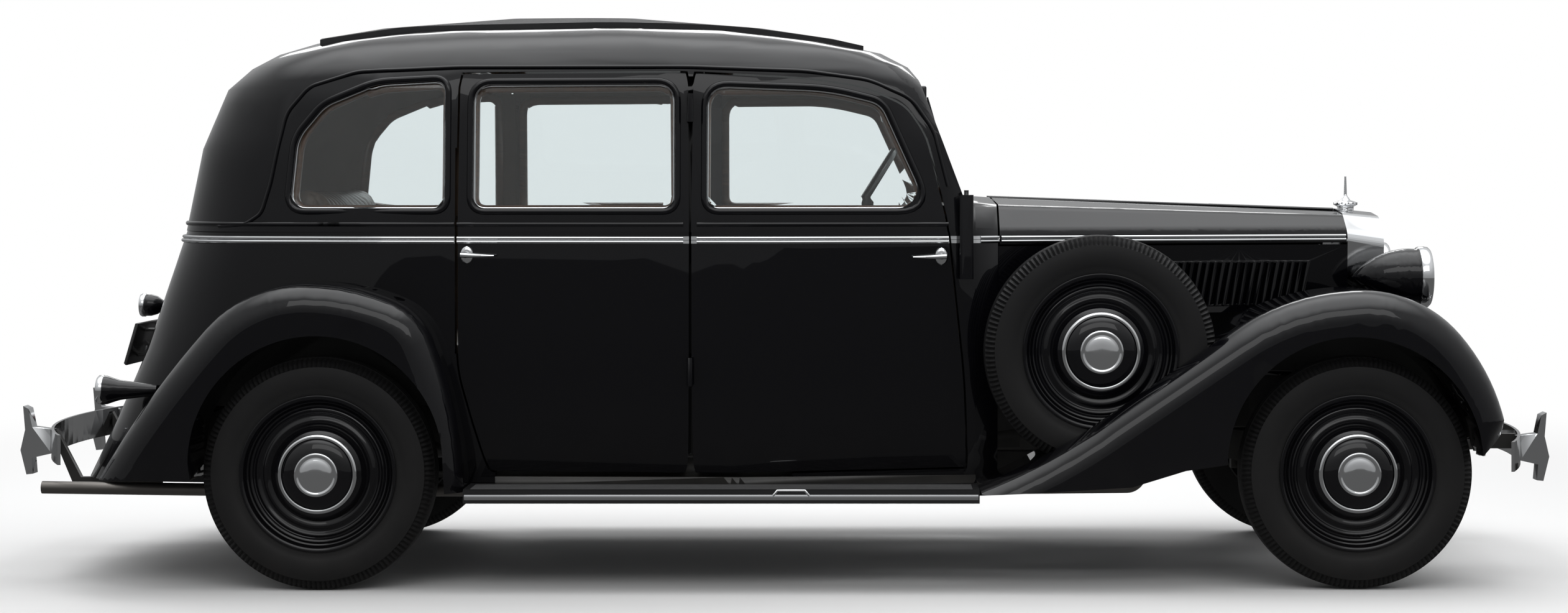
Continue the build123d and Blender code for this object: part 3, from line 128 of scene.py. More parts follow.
def place(obj):
    """Puts the object's place into its mesh."""
    only(obj)
    bpy.ops.object.transform_apply(location=True, rotation=True, scale=True)
    return obj


def edited(obj, *steps):
    """Runs mesh operators, each with its values, on an object that starts all selected."""
    only(obj)
    bpy.ops.object.mode_set(mode="EDIT")
    bpy.ops.mesh.select_all(action="SELECT")
    for operator, values in steps:
        operator(**values)
    bpy.ops.object.mode_set(mode="OBJECT")
    return obj


def modified(obj, kind, **settings):
    """Applies one modifier."""
    only(obj)
    modifier = obj.modifiers.new(kind.lower(), kind)
    for name, value in settings.items():
        setattr(modifier, name, value)
    bpy.ops.object.modifier_apply(modifier=modifier.name)
    return obj


def closed(obj):
    """Merges doubles and turns the faces outwards."""
    return edited(
        obj, (bpy.ops.mesh.remove_doubles, {"threshold": 1e-5}),
        (bpy.ops.mesh.normals_make_consistent, {"inside": False}),
    )


def smooth(obj, degrees=32):
    only(obj)
    bpy.ops.object.shade_smooth_by_angle(angle=math.radians(degrees))
    return obj


MATERIALS = {}


def finish_piece(obj, name, finish, body="body"):
    """Names a piece, gives it its finish and lets it ride on a body."""
    obj.data.update()
    obj.name = name
    obj.data.name = name
    obj.data.materials.clear()
    obj.data.materials.append(MATERIALS[finish])
    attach(obj, body)
    return obj


def joined(parts):
    """Several pieces as one object."""
    deselect()
    for part in parts:
        part.select_set(True)
    bpy.context.view_layer.objects.active = parts[0]
    bpy.ops.object.join()
    return bpy.context.view_layer.objects.active


def copied(obj):
    """A copy with a mesh of its own."""
    twin = obj.copy()
    twin.data = obj.data.copy()
    bpy.context.scene.collection.objects.link(twin)
    return twin


def mirrored(obj):
    """A copy mirrored across the car."""
    twin = copied(obj)
    twin.data.transform(Matrix.Scale(-1, 4, (0, 1, 0)))
    twin.data.flip_normals()
    return twin


def finish_pair(obj, name, finish, body="body"):
    """Finishes a piece of the left side, and its mirror image on the right."""
    for side, piece in (("left", obj), ("right", mirrored(obj))):
        finish_piece(piece, f"{name}_{side}", finish, "body" if body == "body" else f"{body}_{side}")


def closed_sheet(obj, thickness):
    """Gives a sheet its thickness, rounded at the edges."""
    modified(obj, "SOLIDIFY", thickness=thickness, offset=0)
    modified(obj, "BEVEL", width=thickness * 0.3, segments=2)
    return smooth(closed(obj), 40)


def turned(profile, segments, centre=(0, 0, 0), axis=(0, 1, 0)):
    """A form turned about an axis, from a table of (radius, distance along the axis)."""
    radius, along = profile[0]
    deselect()
    bpy.ops.mesh.primitive_circle_add(
        vertices=segments, radius=radius, location=(0, 0, along), fill_type="NOTHING",
    )
    steps = []
    for r_next, along_next in profile[1:]:
        move = {"value": (0, 0, along_next - along)}
        steps.append((bpy.ops.mesh.extrude_region_move, {"TRANSFORM_OT_translate": move}))
        steps.append((bpy.ops.transform.resize, {"value": (r_next / radius, r_next / radius, 1)}))
        radius, along = r_next, along_next
    obj = edited(place(bpy.context.object), *steps)
    obj.rotation_mode = "QUATERNION"
    obj.rotation_quaternion = Vector((0, 0, 1)).rotation_difference(Vector(axis))
    place(obj)
    obj.location = centre
    return closed(place(obj))


def rod(points, radius, cyclic=False, resolution=3, smooth_line=False):
    """A round bar along a line of points."""
    curve = bpy.data.curves.new("rod", "CURVE")
    curve.dimensions = "3D"
    curve.bevel_depth = radius
    curve.bevel_resolution = resolution
    curve.use_fill_caps = True
    spline = curve.splines.new("NURBS" if smooth_line else "POLY")
    spline.points.add(len(points) - 1)
    for target, point in zip(spline.points, points):
        target.co = (*point, 1)
    if smooth_line:
        spline.order_u = 3
        spline.use_endpoint_u = not cyclic
        spline.resolution_u = 6
    spline.use_cyclic_u = cyclic
    obj = bpy.data.objects.new("rod", curve)
    bpy.context.scene.collection.objects.link(obj)
    only(obj)
    bpy.ops.object.convert(target="MESH")
    return smooth(closed(bpy.context.object), 50)


def block(low, high, bevel, segments=3):
    """A block between two corners with rounded edges."""
    low, high = Vector(low), Vector(high)
    deselect()
    bpy.ops.mesh.primitive_cube_add(size=1, location=(low + high) / 2)
    obj = bpy.context.object
    obj.scale = high - low
    rounding = {"offset": bevel, "segments": segments, "affect": "EDGES"}
    return smooth(edited(place(obj), (bpy.ops.mesh.bevel, rounding)), 40)


def merged_copy(node):
    """A smooth-shaded copy of a CAD node, its loose triangles merged."""
    source = frame["nodes"][node]
    obj = bpy.data.objects.new(f"{node}_skin", source.data.copy())
    bpy.context.scene.collection.objects.link(obj)
    edited(
        obj, (bpy.ops.mesh.remove_doubles, {"threshold": 2e-5}),
        (bpy.ops.mesh.dissolve_degenerate, {"threshold": 1e-6}),
    )
    return smooth(obj, 33)


def soften(objects, reach=0.075, spacing=0.02):
    """Shades the outer skin as one smooth form, by averaging its normals over a short reach."""
    draw = random.Random(5)
    samples = []
    for obj in objects:
        vertices = obj.data.vertices
        for face in obj.data.polygons:
            if face.material_index:
                continue
            a, b, c = (vertices[i].co for i in face.vertices[:3])
            share = face.area / spacing ** 2
            count = max(1, round(share))
            for _ in range(count):
                u, v = draw.random(), draw.random()
                if u + v > 1:
                    u, v = 1 - u, 1 - v
                samples.append((a + (b - a) * u + (c - a) * v, face.normal.copy(), share / count))
    tree = KDTree(len(samples))
    for i, (point, _, _) in enumerate(samples):
        tree.insert(point, i)
    tree.balance()
    for obj in objects:
        mesh = obj.data
        normals = [corner.vector.copy() for corner in mesh.corner_normals]
        known = {}
        for face in mesh.polygons:
            if face.material_index:
                continue
            for loop, index in zip(face.loop_indices, face.vertices):
                key = (index, *(round(n, 1) for n in face.normal))
                if key not in known:
                    total = Vector()
                    point = mesh.vertices[index].co
                    for _, i, distance in tree.find_range(point, reach):
                        normal = samples[i][1]
                        facing = normal.dot(face.normal)
                        if facing > 0.6:
                            total += normal * samples[i][2] * (1 - (distance / reach) ** 2)
                    known[key] = total.normalized() if total.length else face.normal.copy()
                if known[key].dot(face.normal) > 0.8:
                    normals[loop] = known[key]
        mesh.normals_split_custom_set([tuple(n) for n in normals])
        mesh.update()


def surface(nodes):
    """The faces of CAD nodes as one tree, for placing trim on them."""
    vertices, faces = [], []
    for node in nodes:
        mesh = frame["nodes"][node].data
        start = len(vertices)
        vertices += [v.co.copy() for v in mesh.vertices]
        faces += [[start + i for i in p.vertices] for p in mesh.polygons]
    return BVHTree.FromPolygons(vertices, faces)


SKIN = surface((*PAINTED, "bonnet_left", "bonnet_right", "bonnet_sides"))


def on_side(x, z, proud=0.0, side=-1):
    """The point of the body's side at a station and height, standing proud of the skin."""
    # A ray that falls through the gap between two panels is tried again a few millimetres along
    for shift in (0, 0.006, -0.006, 0.012, -0.012):
        hit, normal, _, _ = SKIN.ray_cast(Vector((x + shift, side * 2, z)), Vector((0, -side, 0)))
        if hit is not None and abs(hit.y) > 0.2:
            break
    outward = normal if normal.y * side > 0 else -normal
    return Vector((x, hit.y, z)) + outward * proud


def round_tail(z, proud, steps=40):
    """Points of the body's outline at a height, from one side round the tail to the other."""
    centre = Vector((X_REAR + 0.1, 0, z))
    points = []
    for step in range(steps + 1):
        angle = math.radians(90 + 180 * step / steps)
        away = Vector((math.cos(angle), math.sin(angle), 0))
        hit, normal, _, _ = SKIN.ray_cast(centre + away * 3, -away)
        outward = normal if normal.dot(away) > 0 else -normal
        points.append(hit + outward * proud)
    return points


# Materials


def feed(tree, socket, value):
    """Gives a socket a plain value, or a link from another node's socket."""
    if isinstance(value, bpy.types.NodeSocket):
        tree.links.new(value, socket)
    else:
        socket.default_value = value


def put(tree, kind, settings=None, **inputs):
    """Adds a shader node with its settings, and feeds its inputs."""
    node = tree.nodes.new(f"ShaderNode{kind}")
    for name, value in (settings or {}).items():
        setattr(node, name, value)
    for name, value in inputs.items():
        feed(tree, node.inputs[name.replace("_", " ")], value)
    return node


def maths(tree, operation, *values):
    node = put(tree, "Math", {"operation": operation})
    for socket, value in zip(node.inputs, values):
        feed(tree, socket, value)
    return node.outputs[0]


def new_group(name, inputs, outputs):
    """A shader node group with named number sockets: its tree, what it is given and what it gives out."""
    group = bpy.data.node_groups.new(name, "ShaderNodeTree")
    for socket, default in inputs.items():
        made = group.interface.new_socket(name=socket, in_out="INPUT", socket_type="NodeSocketFloat")
        made.default_value = default
    for socket in outputs:
        group.interface.new_socket(name=socket, in_out="OUTPUT", socket_type="NodeSocketFloat")
    return group, group.nodes.new("NodeGroupInput").outputs, group.nodes.new("NodeGroupOutput").inputs


def object_place(tree):
    return put(tree, "TexCoord").outputs["Object"]


def uneven_group():
    """Slow unevenness of a finish: a value round a base, and a fine height."""
    group, given, out = new_group(
        "uneven finish", {"Base": 0.3, "Amount": 0.05, "Scale": 8.0, "Fine Scale": 300.0}, ("Value", "Height"),
    )
    where = object_place(group)
    slow = put(group, "TexNoise", Vector=where, Scale=given["Scale"], Detail=3)
    fine = put(group, "TexNoise", Vector=where, Scale=given["Fine Scale"], Detail=3)
    centred = maths(group, "SUBTRACT", slow.outputs["Fac"], 0.5)
    scaled = maths(group, "MULTIPLY", centred, given["Amount"])
    feed(group, out["Value"], maths(group, "ADD", scaled, given["Base"]))
    feed(group, out["Height"], fine.outputs["Fac"])
    return group


def dust_group():
    """Thin road dust: a patchy mask that grows from a level down to the ground."""
    group, given, out = new_group("road dust", {"Level": 0.7, "Amount": 0.2}, ("Mask",))
    where = object_place(group)
    height = put(group, "SeparateXYZ", Vector=where).outputs["Z"]
    noise = put(group, "TexNoise", Vector=where, Scale=14, Detail=6)
    low = put(group, "Clamp", Value=maths(group, "SUBTRACT", given["Level"], height))
    patchy = maths(group, "MULTIPLY", low.outputs[0], noise.outputs["Fac"])
    feed(group, out["Mask"], maths(group, "MULTIPLY", patchy, given["Amount"]))
    return group


def weave_group():
    """Plain woven cloth: a height whose threads cross in two directions, and a slow tone."""
    group, given, out = new_group("plain weave", {"Threads": 900.0}, ("Height", "Tone"))
    where = object_place(group)
    waves = []
    for direction in ("X", "Y"):
        wave = put(
            group, "TexWave", {"bands_direction": direction}, Vector=where, Scale=given["Threads"],
            Distortion=0.6, Detail=1,
        )
        waves.append(wave.outputs["Fac"])
    noise = put(group, "TexNoise", Vector=where, Scale=20)
    feed(group, out["Height"], maths(group, "MULTIPLY", *waves))
    feed(group, out["Tone"], maths(group, "MULTIPLY", noise.outputs["Fac"], 0.6))
    return group


def grain_group():
    """Leather: the height of its grain's cells, and slow patches of wear."""
    group, given, out = new_group("leather grain", {"Scale": 260.0}, ("Height", "Wear"))
    where = object_place(group)
    cells = put(group, "TexVoronoi", Vector=where, Scale=given["Scale"])
    wear = put(group, "TexNoise", Vector=where, Scale=6, Detail=5)
    feed(group, out["Height"], cells.outputs["Distance"])
    feed(group, out["Wear"], wear.outputs["Fac"])
    return group


GROUPS = {}


def use_group(tree, maker, **values):
    """Places a shared group in a material, made the first time it is asked for."""
    if maker.__name__ not in GROUPS:
        GROUPS[maker.__name__] = maker()
    return put(tree, "Group", {"node_tree": GROUPS[maker.__name__]}, **values)


def new_material(name, color, roughness, **sockets):
    """A material and its Principled shader, with plain values on the sockets."""
    material = bpy.data.materials.new(name)
    material.use_nodes = True
    tree = material.node_tree
    shader = tree.nodes["Principled BSDF"]
    for socket, value in {"Base_Color": (*color, 1), "Roughness": roughness, **sockets}.items():
        feed(tree, shader.inputs[socket.replace("_", " ")], value)
    return material, tree, shader


def bump(tree, shader, height, strength, distance):
    node = put(tree, "Bump", Strength=strength, Distance=distance, Height=height)
    feed(tree, shader.inputs["Normal"], node.outputs["Normal"])


def uneven(tree, shader, base, amount, scale=8.0, fine=300.0, strength=0.0, distance=0.0002):
    """Uneven roughness and, where it is given a strength, a faint texture."""
    group = use_group(tree, uneven_group, Base=base, Amount=amount, Scale=scale, Fine_Scale=fine)
    feed(tree, shader.inputs["Roughness"], group.outputs["Value"])
    if strength:
        bump(tree, shader, group.outputs["Height"], strength, distance)


def tinted(tree, shader, mask, color, other):
    """Mixes two colours, each a triple or a socket, by a mask into the base colour."""
    ends = [end if isinstance(end, bpy.types.NodeSocket) else (*end, 1) for end in (color, other)]
    mix = put(tree, "Mix", {"data_type": "RGBA"}, Factor=mask, A=ends[0], B=ends[1])
    feed(tree, shader.inputs["Base Color"], mix.outputs["Result"])
    return mix.outputs["Result"]


def times(color, factor):
    return tuple(c * factor for c in color)


# The plated belt strip's two lines: middle height and half width of each, in metres
STRIP_LINES = ((1.0325, 0.0052), (1.0213, 0.0048))
DUST = (0.09, 0.08, 0.065)
PAINT_DUST = (0.62, 0.10)
PAINT_UNEVEN = (0.22, 0.06, 3.0, 220.0)
PAINT_ROUGHNESS = 0.28
PAINT = {"Coat_Weight": 1.0, "Coat_Roughness": 0.015, "Coat_IOR": 1.40, "Specular_IOR_Level": 0.06}
GLASS = {"Transmission_Weight": 1.0, "IOR": 1.45}
# Plain finishes: a colour or the setting that holds it; roughness; the values of uneven(); level and amount of
# dust; other values of the shader
PLAIN = {
    "body_paint": ("body", PAINT_ROUGHNESS, PAINT_UNEVEN, PAINT_DUST, PAINT),
    "chrome": ("chrome", 0.08, (0.09, 0.08, 18.0, 700.0, 0.01), None, {"Metallic": 1.0}),
    "chassis_paint": ("chassis", 0.5, (0.5, 0.25, 8.0, 160.0, 0.15, 0.0006), (0.75, 0.6), {}),
    "tyre_rubber": (
        "rubber", 0.62, (0.6, 0.2, 10.0, 500.0, 0.2, 0.0004), (0.9, 0.10), {"Specular_IOR_Level": 0.28},
    ),
    "board_rubber": ("rubber", 0.5, (0.48, 0.2, 12.0, 350.0, 0.15, 0.0004), None, {}),
    "window_glass": ((0.86, 0.905, 0.91), 0.0, (0.006, 0.01, 4.0), None, GLASS),
    "red_lens": ((0.28, 0.01, 0.008), 0.12, (0.14, 0.08, 8.0, 90.0, 0.2, 0.001), None, {"Coat_Weight": 0.5}),
    "dull_steel": ((0.16, 0.15, 0.14), 0.42, (0.42, 0.3, 10.0, 260.0, 0.2, 0.0005), None, {"Metallic": 0.9}),
    "dial_face": ((0.62, 0.58, 0.48), 0.4, (0.4, 0.1, 8.0, 300.0, 0.02), None, {"Coat_Weight": 0.8}),
    "black_plastic": ((0.012, 0.012, 0.013), 0.22, (0.24, 0.12, 20.0, 400.0, 0.02), None, {}),
    "blank_plate": ((0.02, 0.02, 0.02), 0.4, (0.4, 0.15, 14.0, 300.0, 0.02), None, {"Coat_Weight": 0.3}),
}


def plain_finish(name, colors, color, roughness, unevenness, dust, sockets):
    """A finish of one colour with uneven gloss, dusty if it has dust."""
    if isinstance(color, str):
        color = getattr(colors, color)
    material, tree, shader = new_material(name.replace("_", " "), color, roughness, **sockets)
    uneven(tree, shader, *unevenness)
    if dust:
        mask = use_group(tree, dust_group, Level=dust[0], Amount=dust[1]).outputs["Mask"]
        tinted(tree, shader, mask, color, DUST)
    return material


def belt_paint(colors):
    """Body paint with the plated belt strip where it stands on the skin."""
    material, tree, shader = new_material("belt paint", colors.body, PAINT_ROUGHNESS, **PAINT)
    height = put(tree, "SeparateXYZ", Vector=object_place(tree)).outputs["Z"]
    strip = maths(tree, "MAXIMUM", *(maths(tree, "COMPARE", height, *line) for line in STRIP_LINES))
    dust = use_group(tree, dust_group, Level=PAINT_DUST[0], Amount=PAINT_DUST[1])
    paint = tinted(tree, shader, dust.outputs["Mask"], colors.body, DUST)
    tinted(tree, shader, strip, paint, colors.chrome)
    feed(tree, shader.inputs["Metallic"], strip)
    feed(tree, shader.inputs["Coat Weight"], maths(tree, "SUBTRACT", 1.0, strip))
    base, amount, scale, fine = PAINT_UNEVEN
    group = use_group(tree, uneven_group, Base=base, Amount=amount, Scale=scale, Fine_Scale=fine)
    plated = maths(tree, "SUBTRACT", 1.0, maths(tree, "MULTIPLY", strip, 0.6))
    feed(tree, shader.inputs["Roughness"], maths(tree, "MULTIPLY", group.outputs["Value"], plated))
    return material


def woven(name, color, roughness, specular, threads, strength, distance, light):
    """Plain woven cloth, toned towards a lighter shade of its colour."""
    material, tree, shader = new_material(name, color, roughness, Specular_IOR_Level=specular)
    weave = use_group(tree, weave_group, Threads=threads)
    bump(tree, shader, weave.outputs["Height"], strength, distance)
    tinted(tree, shader, weave.outputs["Tone"], color, times(color, light))
    return material


def roof_fabric(colors):
    return woven("roof fabric", times(colors.rubber, 2.6), 0.62, 0.4, 420.0, 0.5, 0.0008, 2.2)


def trim_cloth(colors):
    return woven("trim cloth", colors.trim_cloth, 0.85, 0.2, 600.0, 0.4, 0.0006, 1.7)


def seat_leather(colors):
    material, tree, shader = new_material("seat leather", colors.leather, 0.45)
    grain = use_group(tree, grain_group, Scale=240.0)
    bump(tree, shader, grain.outputs["Height"], 0.35, 0.0006)
    tinted(tree, shader, grain.outputs["Wear"], times(colors.leather, 0.6), times(colors.leather, 1.5))
    uneven(tree, shader, 0.45, 0.3, 9.0)
    return material


def varnished_wood(colors):
    """Wood grain drawn out lengthways under varnish."""
    material, tree, shader = new_material("varnished wood", colors.wood, 0.3, Coat_Weight=0.6)
    stretch = put(tree, "Mapping", Vector=object_place(tree), Scale=(1.0, 1.0, 9.0))
    noise = put(tree, "TexNoise", Vector=stretch.outputs["Vector"], Scale=12, Detail=8)
    tinted(tree, shader, noise.outputs["Fac"], times(colors.wood, 0.45), times(colors.wood, 1.9))
    bump(tree, shader, noise.outputs["Fac"], 0.08, 0.0003)
    return material


def lamp_lens(colors):
    """Fluted lens glass."""
    material, tree, shader = new_material("lamp lens", (0.95, 0.96, 0.95), 0.05, Transmission_Weight=1.0)
    flutes = put(tree, "TexWave", {"bands_direction": "Y"}, Vector=object_place(tree), Scale=26)
    bump(tree, shader, flutes.outputs["Fac"], 0.6, 0.002)
    return material


class LIMOUSINE_OT_finishes(bpy.types.Operator):
    """Makes the finishes"""

    bl_idname = "limousine.finishes"
    bl_label = "Finishes"

    def execute(self, context):
        colors = context.scene.limousine_paint
        for name, row in PLAIN.items():
            MATERIALS[name] = plain_finish(name, colors, *row)
        for maker in (belt_paint, roof_fabric, trim_cloth, seat_leather, varnished_wood, lamp_lens):
            MATERIALS[maker.__name__] = maker(colors)
        return {"FINISHED"}


BODY_OF = {node: body for body, nodes in frame["record"]["behaviour"]["bodies"].items() for node in nodes}
OTHER_SKINS = {
    "body_paint": (
        "bonnet_left", "bonnet_right", "bonnet_sides", "front_wings", "rear_wings", "b_pillars", "turn_signals",
        "lamps",
    ),
    "chassis_paint": (
        "floor_pan", "chassis_frame", "axles", "knuckle_left", "knuckle_right", "fuel_tank", "bumper_irons",
        "engine",
    ),
    "chrome": ("radiator_shell", "bumpers", "radiator_grille"),
    "dull_steel": ("exhaust",),
    "roof_fabric": ("fabric_roof",),
    "window_glass": (
        "glass_front_left", "glass_front_right", "glass_rear_left", "glass_rear_right", "fixed_glass",
    ),
    "black_plastic": ("steering_wheel",),
    "varnished_wood": ("dashboard",),
}


def dressed(obj, node, *finishes):
    """Gives the copy of a CAD node its finishes and lets it take the node's place."""
    obj.data.materials.clear()
    for finish in finishes:
        obj.data.materials.append(MATERIALS[finish])
    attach(obj, BODY_OF[node])
    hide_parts(node)
    return obj


def lines_cabin(face, node):
    """Whether a face of a panel looks into the cabin."""
    x, y, z = face.center
    if x > X_B_POST + 0.70 and not node.startswith("door"):
        return False
    if z > 1.5 and abs(y) < 0.56:
        return face.normal.z < -0.4
    if x < X_REAR - 0.2 and abs(y) < 0.45:
        return face.normal.x > 0.4
    return face.normal.y * math.copysign(1, y) < -0.5


class LIMOUSINE_OT_panels(bpy.types.Operator):
    """Smooth body panels, lined with cloth inside the cabin"""

    bl_idname = "limousine.panels"
    bl_label = "Body panels"

    def execute(self, context):
        panels = [dressed(merged_copy(node), node, "belt_paint", "trim_cloth") for node in PAINTED]
        for node, obj in zip(PAINTED, panels):
            for face in obj.data.polygons:
                if lines_cabin(face, node):
                    face.material_index = 1
        soften(panels)
        for finish, nodes in OTHER_SKINS.items():
            for node in nodes:
                # The faces' areas weigh in the shading
                copy = modified(merged_copy(node), "WEIGHTED_NORMAL", keep_sharp=True)
                dressed(copy, node, finish)
        return {"FINISHED"}


# Tyre and wheel profiles: radius and distance outboard of the wheel's middle plane
TYRE_PROFILE = (
    (0.2225, 0.058), (0.232, 0.0635), (0.240, 0.0625), (0.252, 0.0675), (0.268, 0.0703), (0.284, 0.0709),
    (0.300, 0.0696), (0.313, 0.0665), (0.3165, 0.0664), (0.3195, 0.0640), (0.3265, 0.0600), (0.3325, 0.0545),
    (0.3372, 0.0470), (0.3398, 0.0410), (0.3400, 0.0385), (0.3350, 0.0375), (0.3350, 0.0345), (0.3408, 0.0335),
    (0.3420, 0.0235), (0.3370, 0.0225), (0.3370, 0.0195), (0.3424, 0.0185), (0.3430, 0.0085), (0.3380, 0.0075),
    (0.3380, 0.0045), (0.3430, 0.0035), (0.3430, 0.0),
)
WHEEL_PROFILE = (
    (0.2299, 0.0665), (0.2297, 0.0675), (0.2270, 0.0685), (0.2200, 0.0670), (0.2165, 0.0620), (0.2150, 0.0480),
    (0.2120, 0.0430), (0.2080, 0.0415), (0.2040, 0.0440), (0.2010, 0.0470), (0.1970, 0.0462), (0.1940, 0.0410),
    (0.1900, 0.0385), (0.1860, 0.0400), (0.1830, 0.0432), (0.1790, 0.0428), (0.1755, 0.0385), (0.1700, 0.0365),
    (0.1640, 0.0385), (0.1590, 0.0430), (0.1540, 0.0436), (0.1480, 0.0400), (0.1420, 0.0385), (0.1385, 0.0420),
    (0.1370, 0.0480), (0.1330, 0.0560), (0.1250, 0.0640), (0.1160, 0.0700),
)
WHEEL_MOUTH = ((0.1150, 0.0640), (0.0400, 0.0640))
RIM_WELL = ((0.2262, 0.0610), (0.2222, 0.0560), (0.2218, -0.0560), (0.2262, -0.0610))
WHEEL_BACK = (
    (0.2299, -0.066), (0.2240, -0.067), (0.2180, -0.060), (0.2060, -0.054), (0.1980, 0.010), (0.1560, 0.026),
)
DRUM = (
    (0.1480, 0.020), (0.1380, 0.012), (0.1380, -0.0035), (0.0220, -0.0035), (0.0220, 0.030), (0.0400, 0.034),
)
CAP_RING = (
    (0.1155, 0.0695), (0.1160, 0.0735), (0.1135, 0.0765), (0.1085, 0.0780), (0.1050, 0.0765), (0.1045, 0.0720),
    (0.1155, 0.0695),
)
CAP_DOME = (
    (0.1050, 0.0730), (0.1000, 0.0790), (0.0920, 0.0845), (0.0820, 0.0890), (0.0720, 0.0920), (0.0640, 0.0935),
    (0.0630, 0.0700), (0.1045, 0.0700), (0.1050, 0.0730),
)
CAP_BOSS = (
    (0.0645, 0.0925), (0.0640, 0.0955), (0.0615, 0.0975), (0.0560, 0.0975), (0.0530, 0.0955), (0.0500, 0.0950),
    (0.0440, 0.0975), (0.0340, 0.0998), (0.0200, 0.1010), (0.0080, 0.1013), (0.0004, 0.1013), (0.0004, 0.0900),
    (0.0630, 0.0900), (0.0645, 0.0925),
)
# Band of the tyre's shoulder that is notched, its least distance from the middle plane, and the notches' depth
SHOULDER = (0.3140, 0.3385)
SHOULDER_SIDE = 0.044
NOTCH = 0.0045


def tyre_mesh(segments):
    """One tyre round the Y axis, with ribs, grooves and notched shoulders."""
    profile = [*TYRE_PROFILE, *((r, -y) for r, y in reversed(TYRE_PROFILE[:-1]))]
    obj = turned(profile, segments)
    for vert in obj.data.vertices:
        x, y, z = vert.co
        radius = math.hypot(x, z)
        step = round(math.atan2(z, x) / (2 * math.pi) * segments)
        if SHOULDER[0] < radius < SHOULDER[1] and abs(y) > SHOULDER_SIDE and step % 2:
            inwards = 1 - NOTCH / radius
            vert.co = (x * inwards, y - math.copysign(NOTCH, y), z * inwards)
    return smooth(obj, 40)


class LIMOUSINE_OT_wheels(bpy.types.Operator):
    """Tyres with ribs and notched shoulders, dished wheels, domed caps"""

    bl_idname = "limousine.wheels"
    bl_label = "Wheels"

    def execute(self, context):
        tyre = tyre_mesh(context.scene.limousine_trim.tyre_segments)
        face = turned([*WHEEL_PROFILE, *WHEEL_MOUTH], 96)
        rear = turned([WHEEL_PROFILE[0], *RIM_WELL, *WHEEL_BACK], 96)
        kinds = (
            ("tyre", tyre, "tyre_rubber", "tyre"),
            ("wheel", smooth(joined([face, rear]), 50), "body_paint", "wheel_paint"),
            ("drum", smooth(turned([WHEEL_BACK[-1], *DRUM], 64), 30), "chassis_paint", "wheel_paint"),
            ("cap_ring", smooth(turned(CAP_RING, 96), 45), "chrome", "chrome"),
            ("cap_dome", smooth(turned(CAP_DOME, 96), 50), "body_paint", "wheel_paint"),
            ("cap_boss", smooth(turned(CAP_BOSS, 72), 45), "chrome", "chrome"),
        )
        low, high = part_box("spare_tyres")
        middle = (low + high) / 2
        half = (WHEEL_BOX["front_left"][1].y - WHEEL_BOX["front_left"][0].y) / 2
        places = [(name, HUBS[name], f"wheel_{name}") for name in HUBS]
        for name, y in (("spare_left", high.y - half), ("spare_right", low.y + half)):
            places.append((name, Vector((middle.x, y, middle.z)), "body"))
        for name, centre, body in places:
            for label, source, finish, slot in kinds:
                # A spare has no brake drum
                if label == "drum" and body == "body":
                    continue
                obj = copied(source)
                if centre.y < 0:
                    obj.data.transform(Matrix.Rotation(math.pi, 4, "Z"))
                obj.data.transform(Matrix.Translation(centre))
                finish_piece(obj, f"{name}_{label}", finish, body)
        for name in HUBS:
            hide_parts(f"tyre_{name}")
            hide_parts(f"wheel_{name}")
        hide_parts("spare_tyres")
        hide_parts("spare_wheels")
        for row in kinds:
            bpy.data.objects.remove(row[1])
        return {"FINISHED"}


def window_line(points, radii, steps=7):
    """A closed outline through corner points with rounded corners, as X and Z in metres."""
    line = []
    count = len(points)
    for i, (corner, radius) in enumerate(zip(points, radii)):
        here = Vector(corner)
        before = Vector(points[i - 1]) - here
        after = Vector(points[(i + 1) % count]) - here
        angle = before.angle(after)
        reach = min(radius / math.tan(angle / 2), before.length * 0.49, after.length * 0.49)
        start, end = here + before.normalized() * reach, here + after.normalized() * reach
        for step in range(steps + 1):
            t = step / steps
            line.append((1 - t) ** 2 * start + 2 * t * (1 - t) * here + t ** 2 * end)
    return line


def offsets(values, x_from):
    """A table in millimetres from a station, as points in metres."""
    return [(x_from + x / 1000, z / 1000) for x, z in values]


X_QUARTER = X_REAR + 0.392
WINDOWS = {
    "front": (
        offsets(((51, 1121), (51, 1482), (410, 1470), (565, 1432), (706, 1121)), X_B_POST),
        (0.035, 0.060, 0.700, 0.070, 0.060),
    ),
    "rear": (
        offsets(((52, 1121), (52, 1487), (647, 1489), (647, 1121)), X_QUARTER),
        (0.035, 0.055, 0.055, 0.035),
    ),
    "quarter": (
        offsets(((-35, 1121), (-35, 1500), (-240, 1489), (-400, 1425), (-480, 1330), (-500, 1121)), X_QUARTER),
        (0.035, 0.035, 0.250, 0.120, 0.120, 0.045),
    ),
}


def grown(line, amount):
    """An outline moved outwards by an amount."""
    centre = sum(line, Vector((0, 0))) / len(line)
    result = []
    for i, point in enumerate(line):
        along = line[(i + 1) % len(line)] - line[i - 1]
        normal = Vector((along.y, -along.x)).normalized()
        if normal.dot(point - centre) < 0:
            normal = -normal
        result.append(point + normal * amount)
    return result


class LIMOUSINE_OT_window_frames(bpy.types.Operator):
    """Raised beads round the windows, with a plated seal and a wooden rail inside"""

    bl_idname = "limousine.window_frames"
    bl_label = "Window frames"

    def execute(self, context):
        bead = context.scene.limousine_trim.bead
        for place_name, (corners, radii) in WINDOWS.items():
            line = window_line(corners, radii)
            body = "body" if place_name == "quarter" else f"door_{place_name}"
            # Each bar's growth round the window, its stand on the skin, radius and rings
            for label, finish, growth, proud, radius, resolution in (
                ("bead", "body_paint", bead * 0.55, 0.0, bead / 2, 3),
                ("seal", "chrome", 0.0, -0.012, 0.0035, 2),
                ("rail", "varnished_wood", 0.004, -0.040, 0.016, 3),
            ):
                points = [on_side(p.x, p.y, proud, 1) for p in grown(line, growth)]
                bar = rod(points, radius, cyclic=True, resolution=resolution)
                finish_pair(bar, f"window_{label}_{place_name}", finish, body)
        return {"FINISHED"}


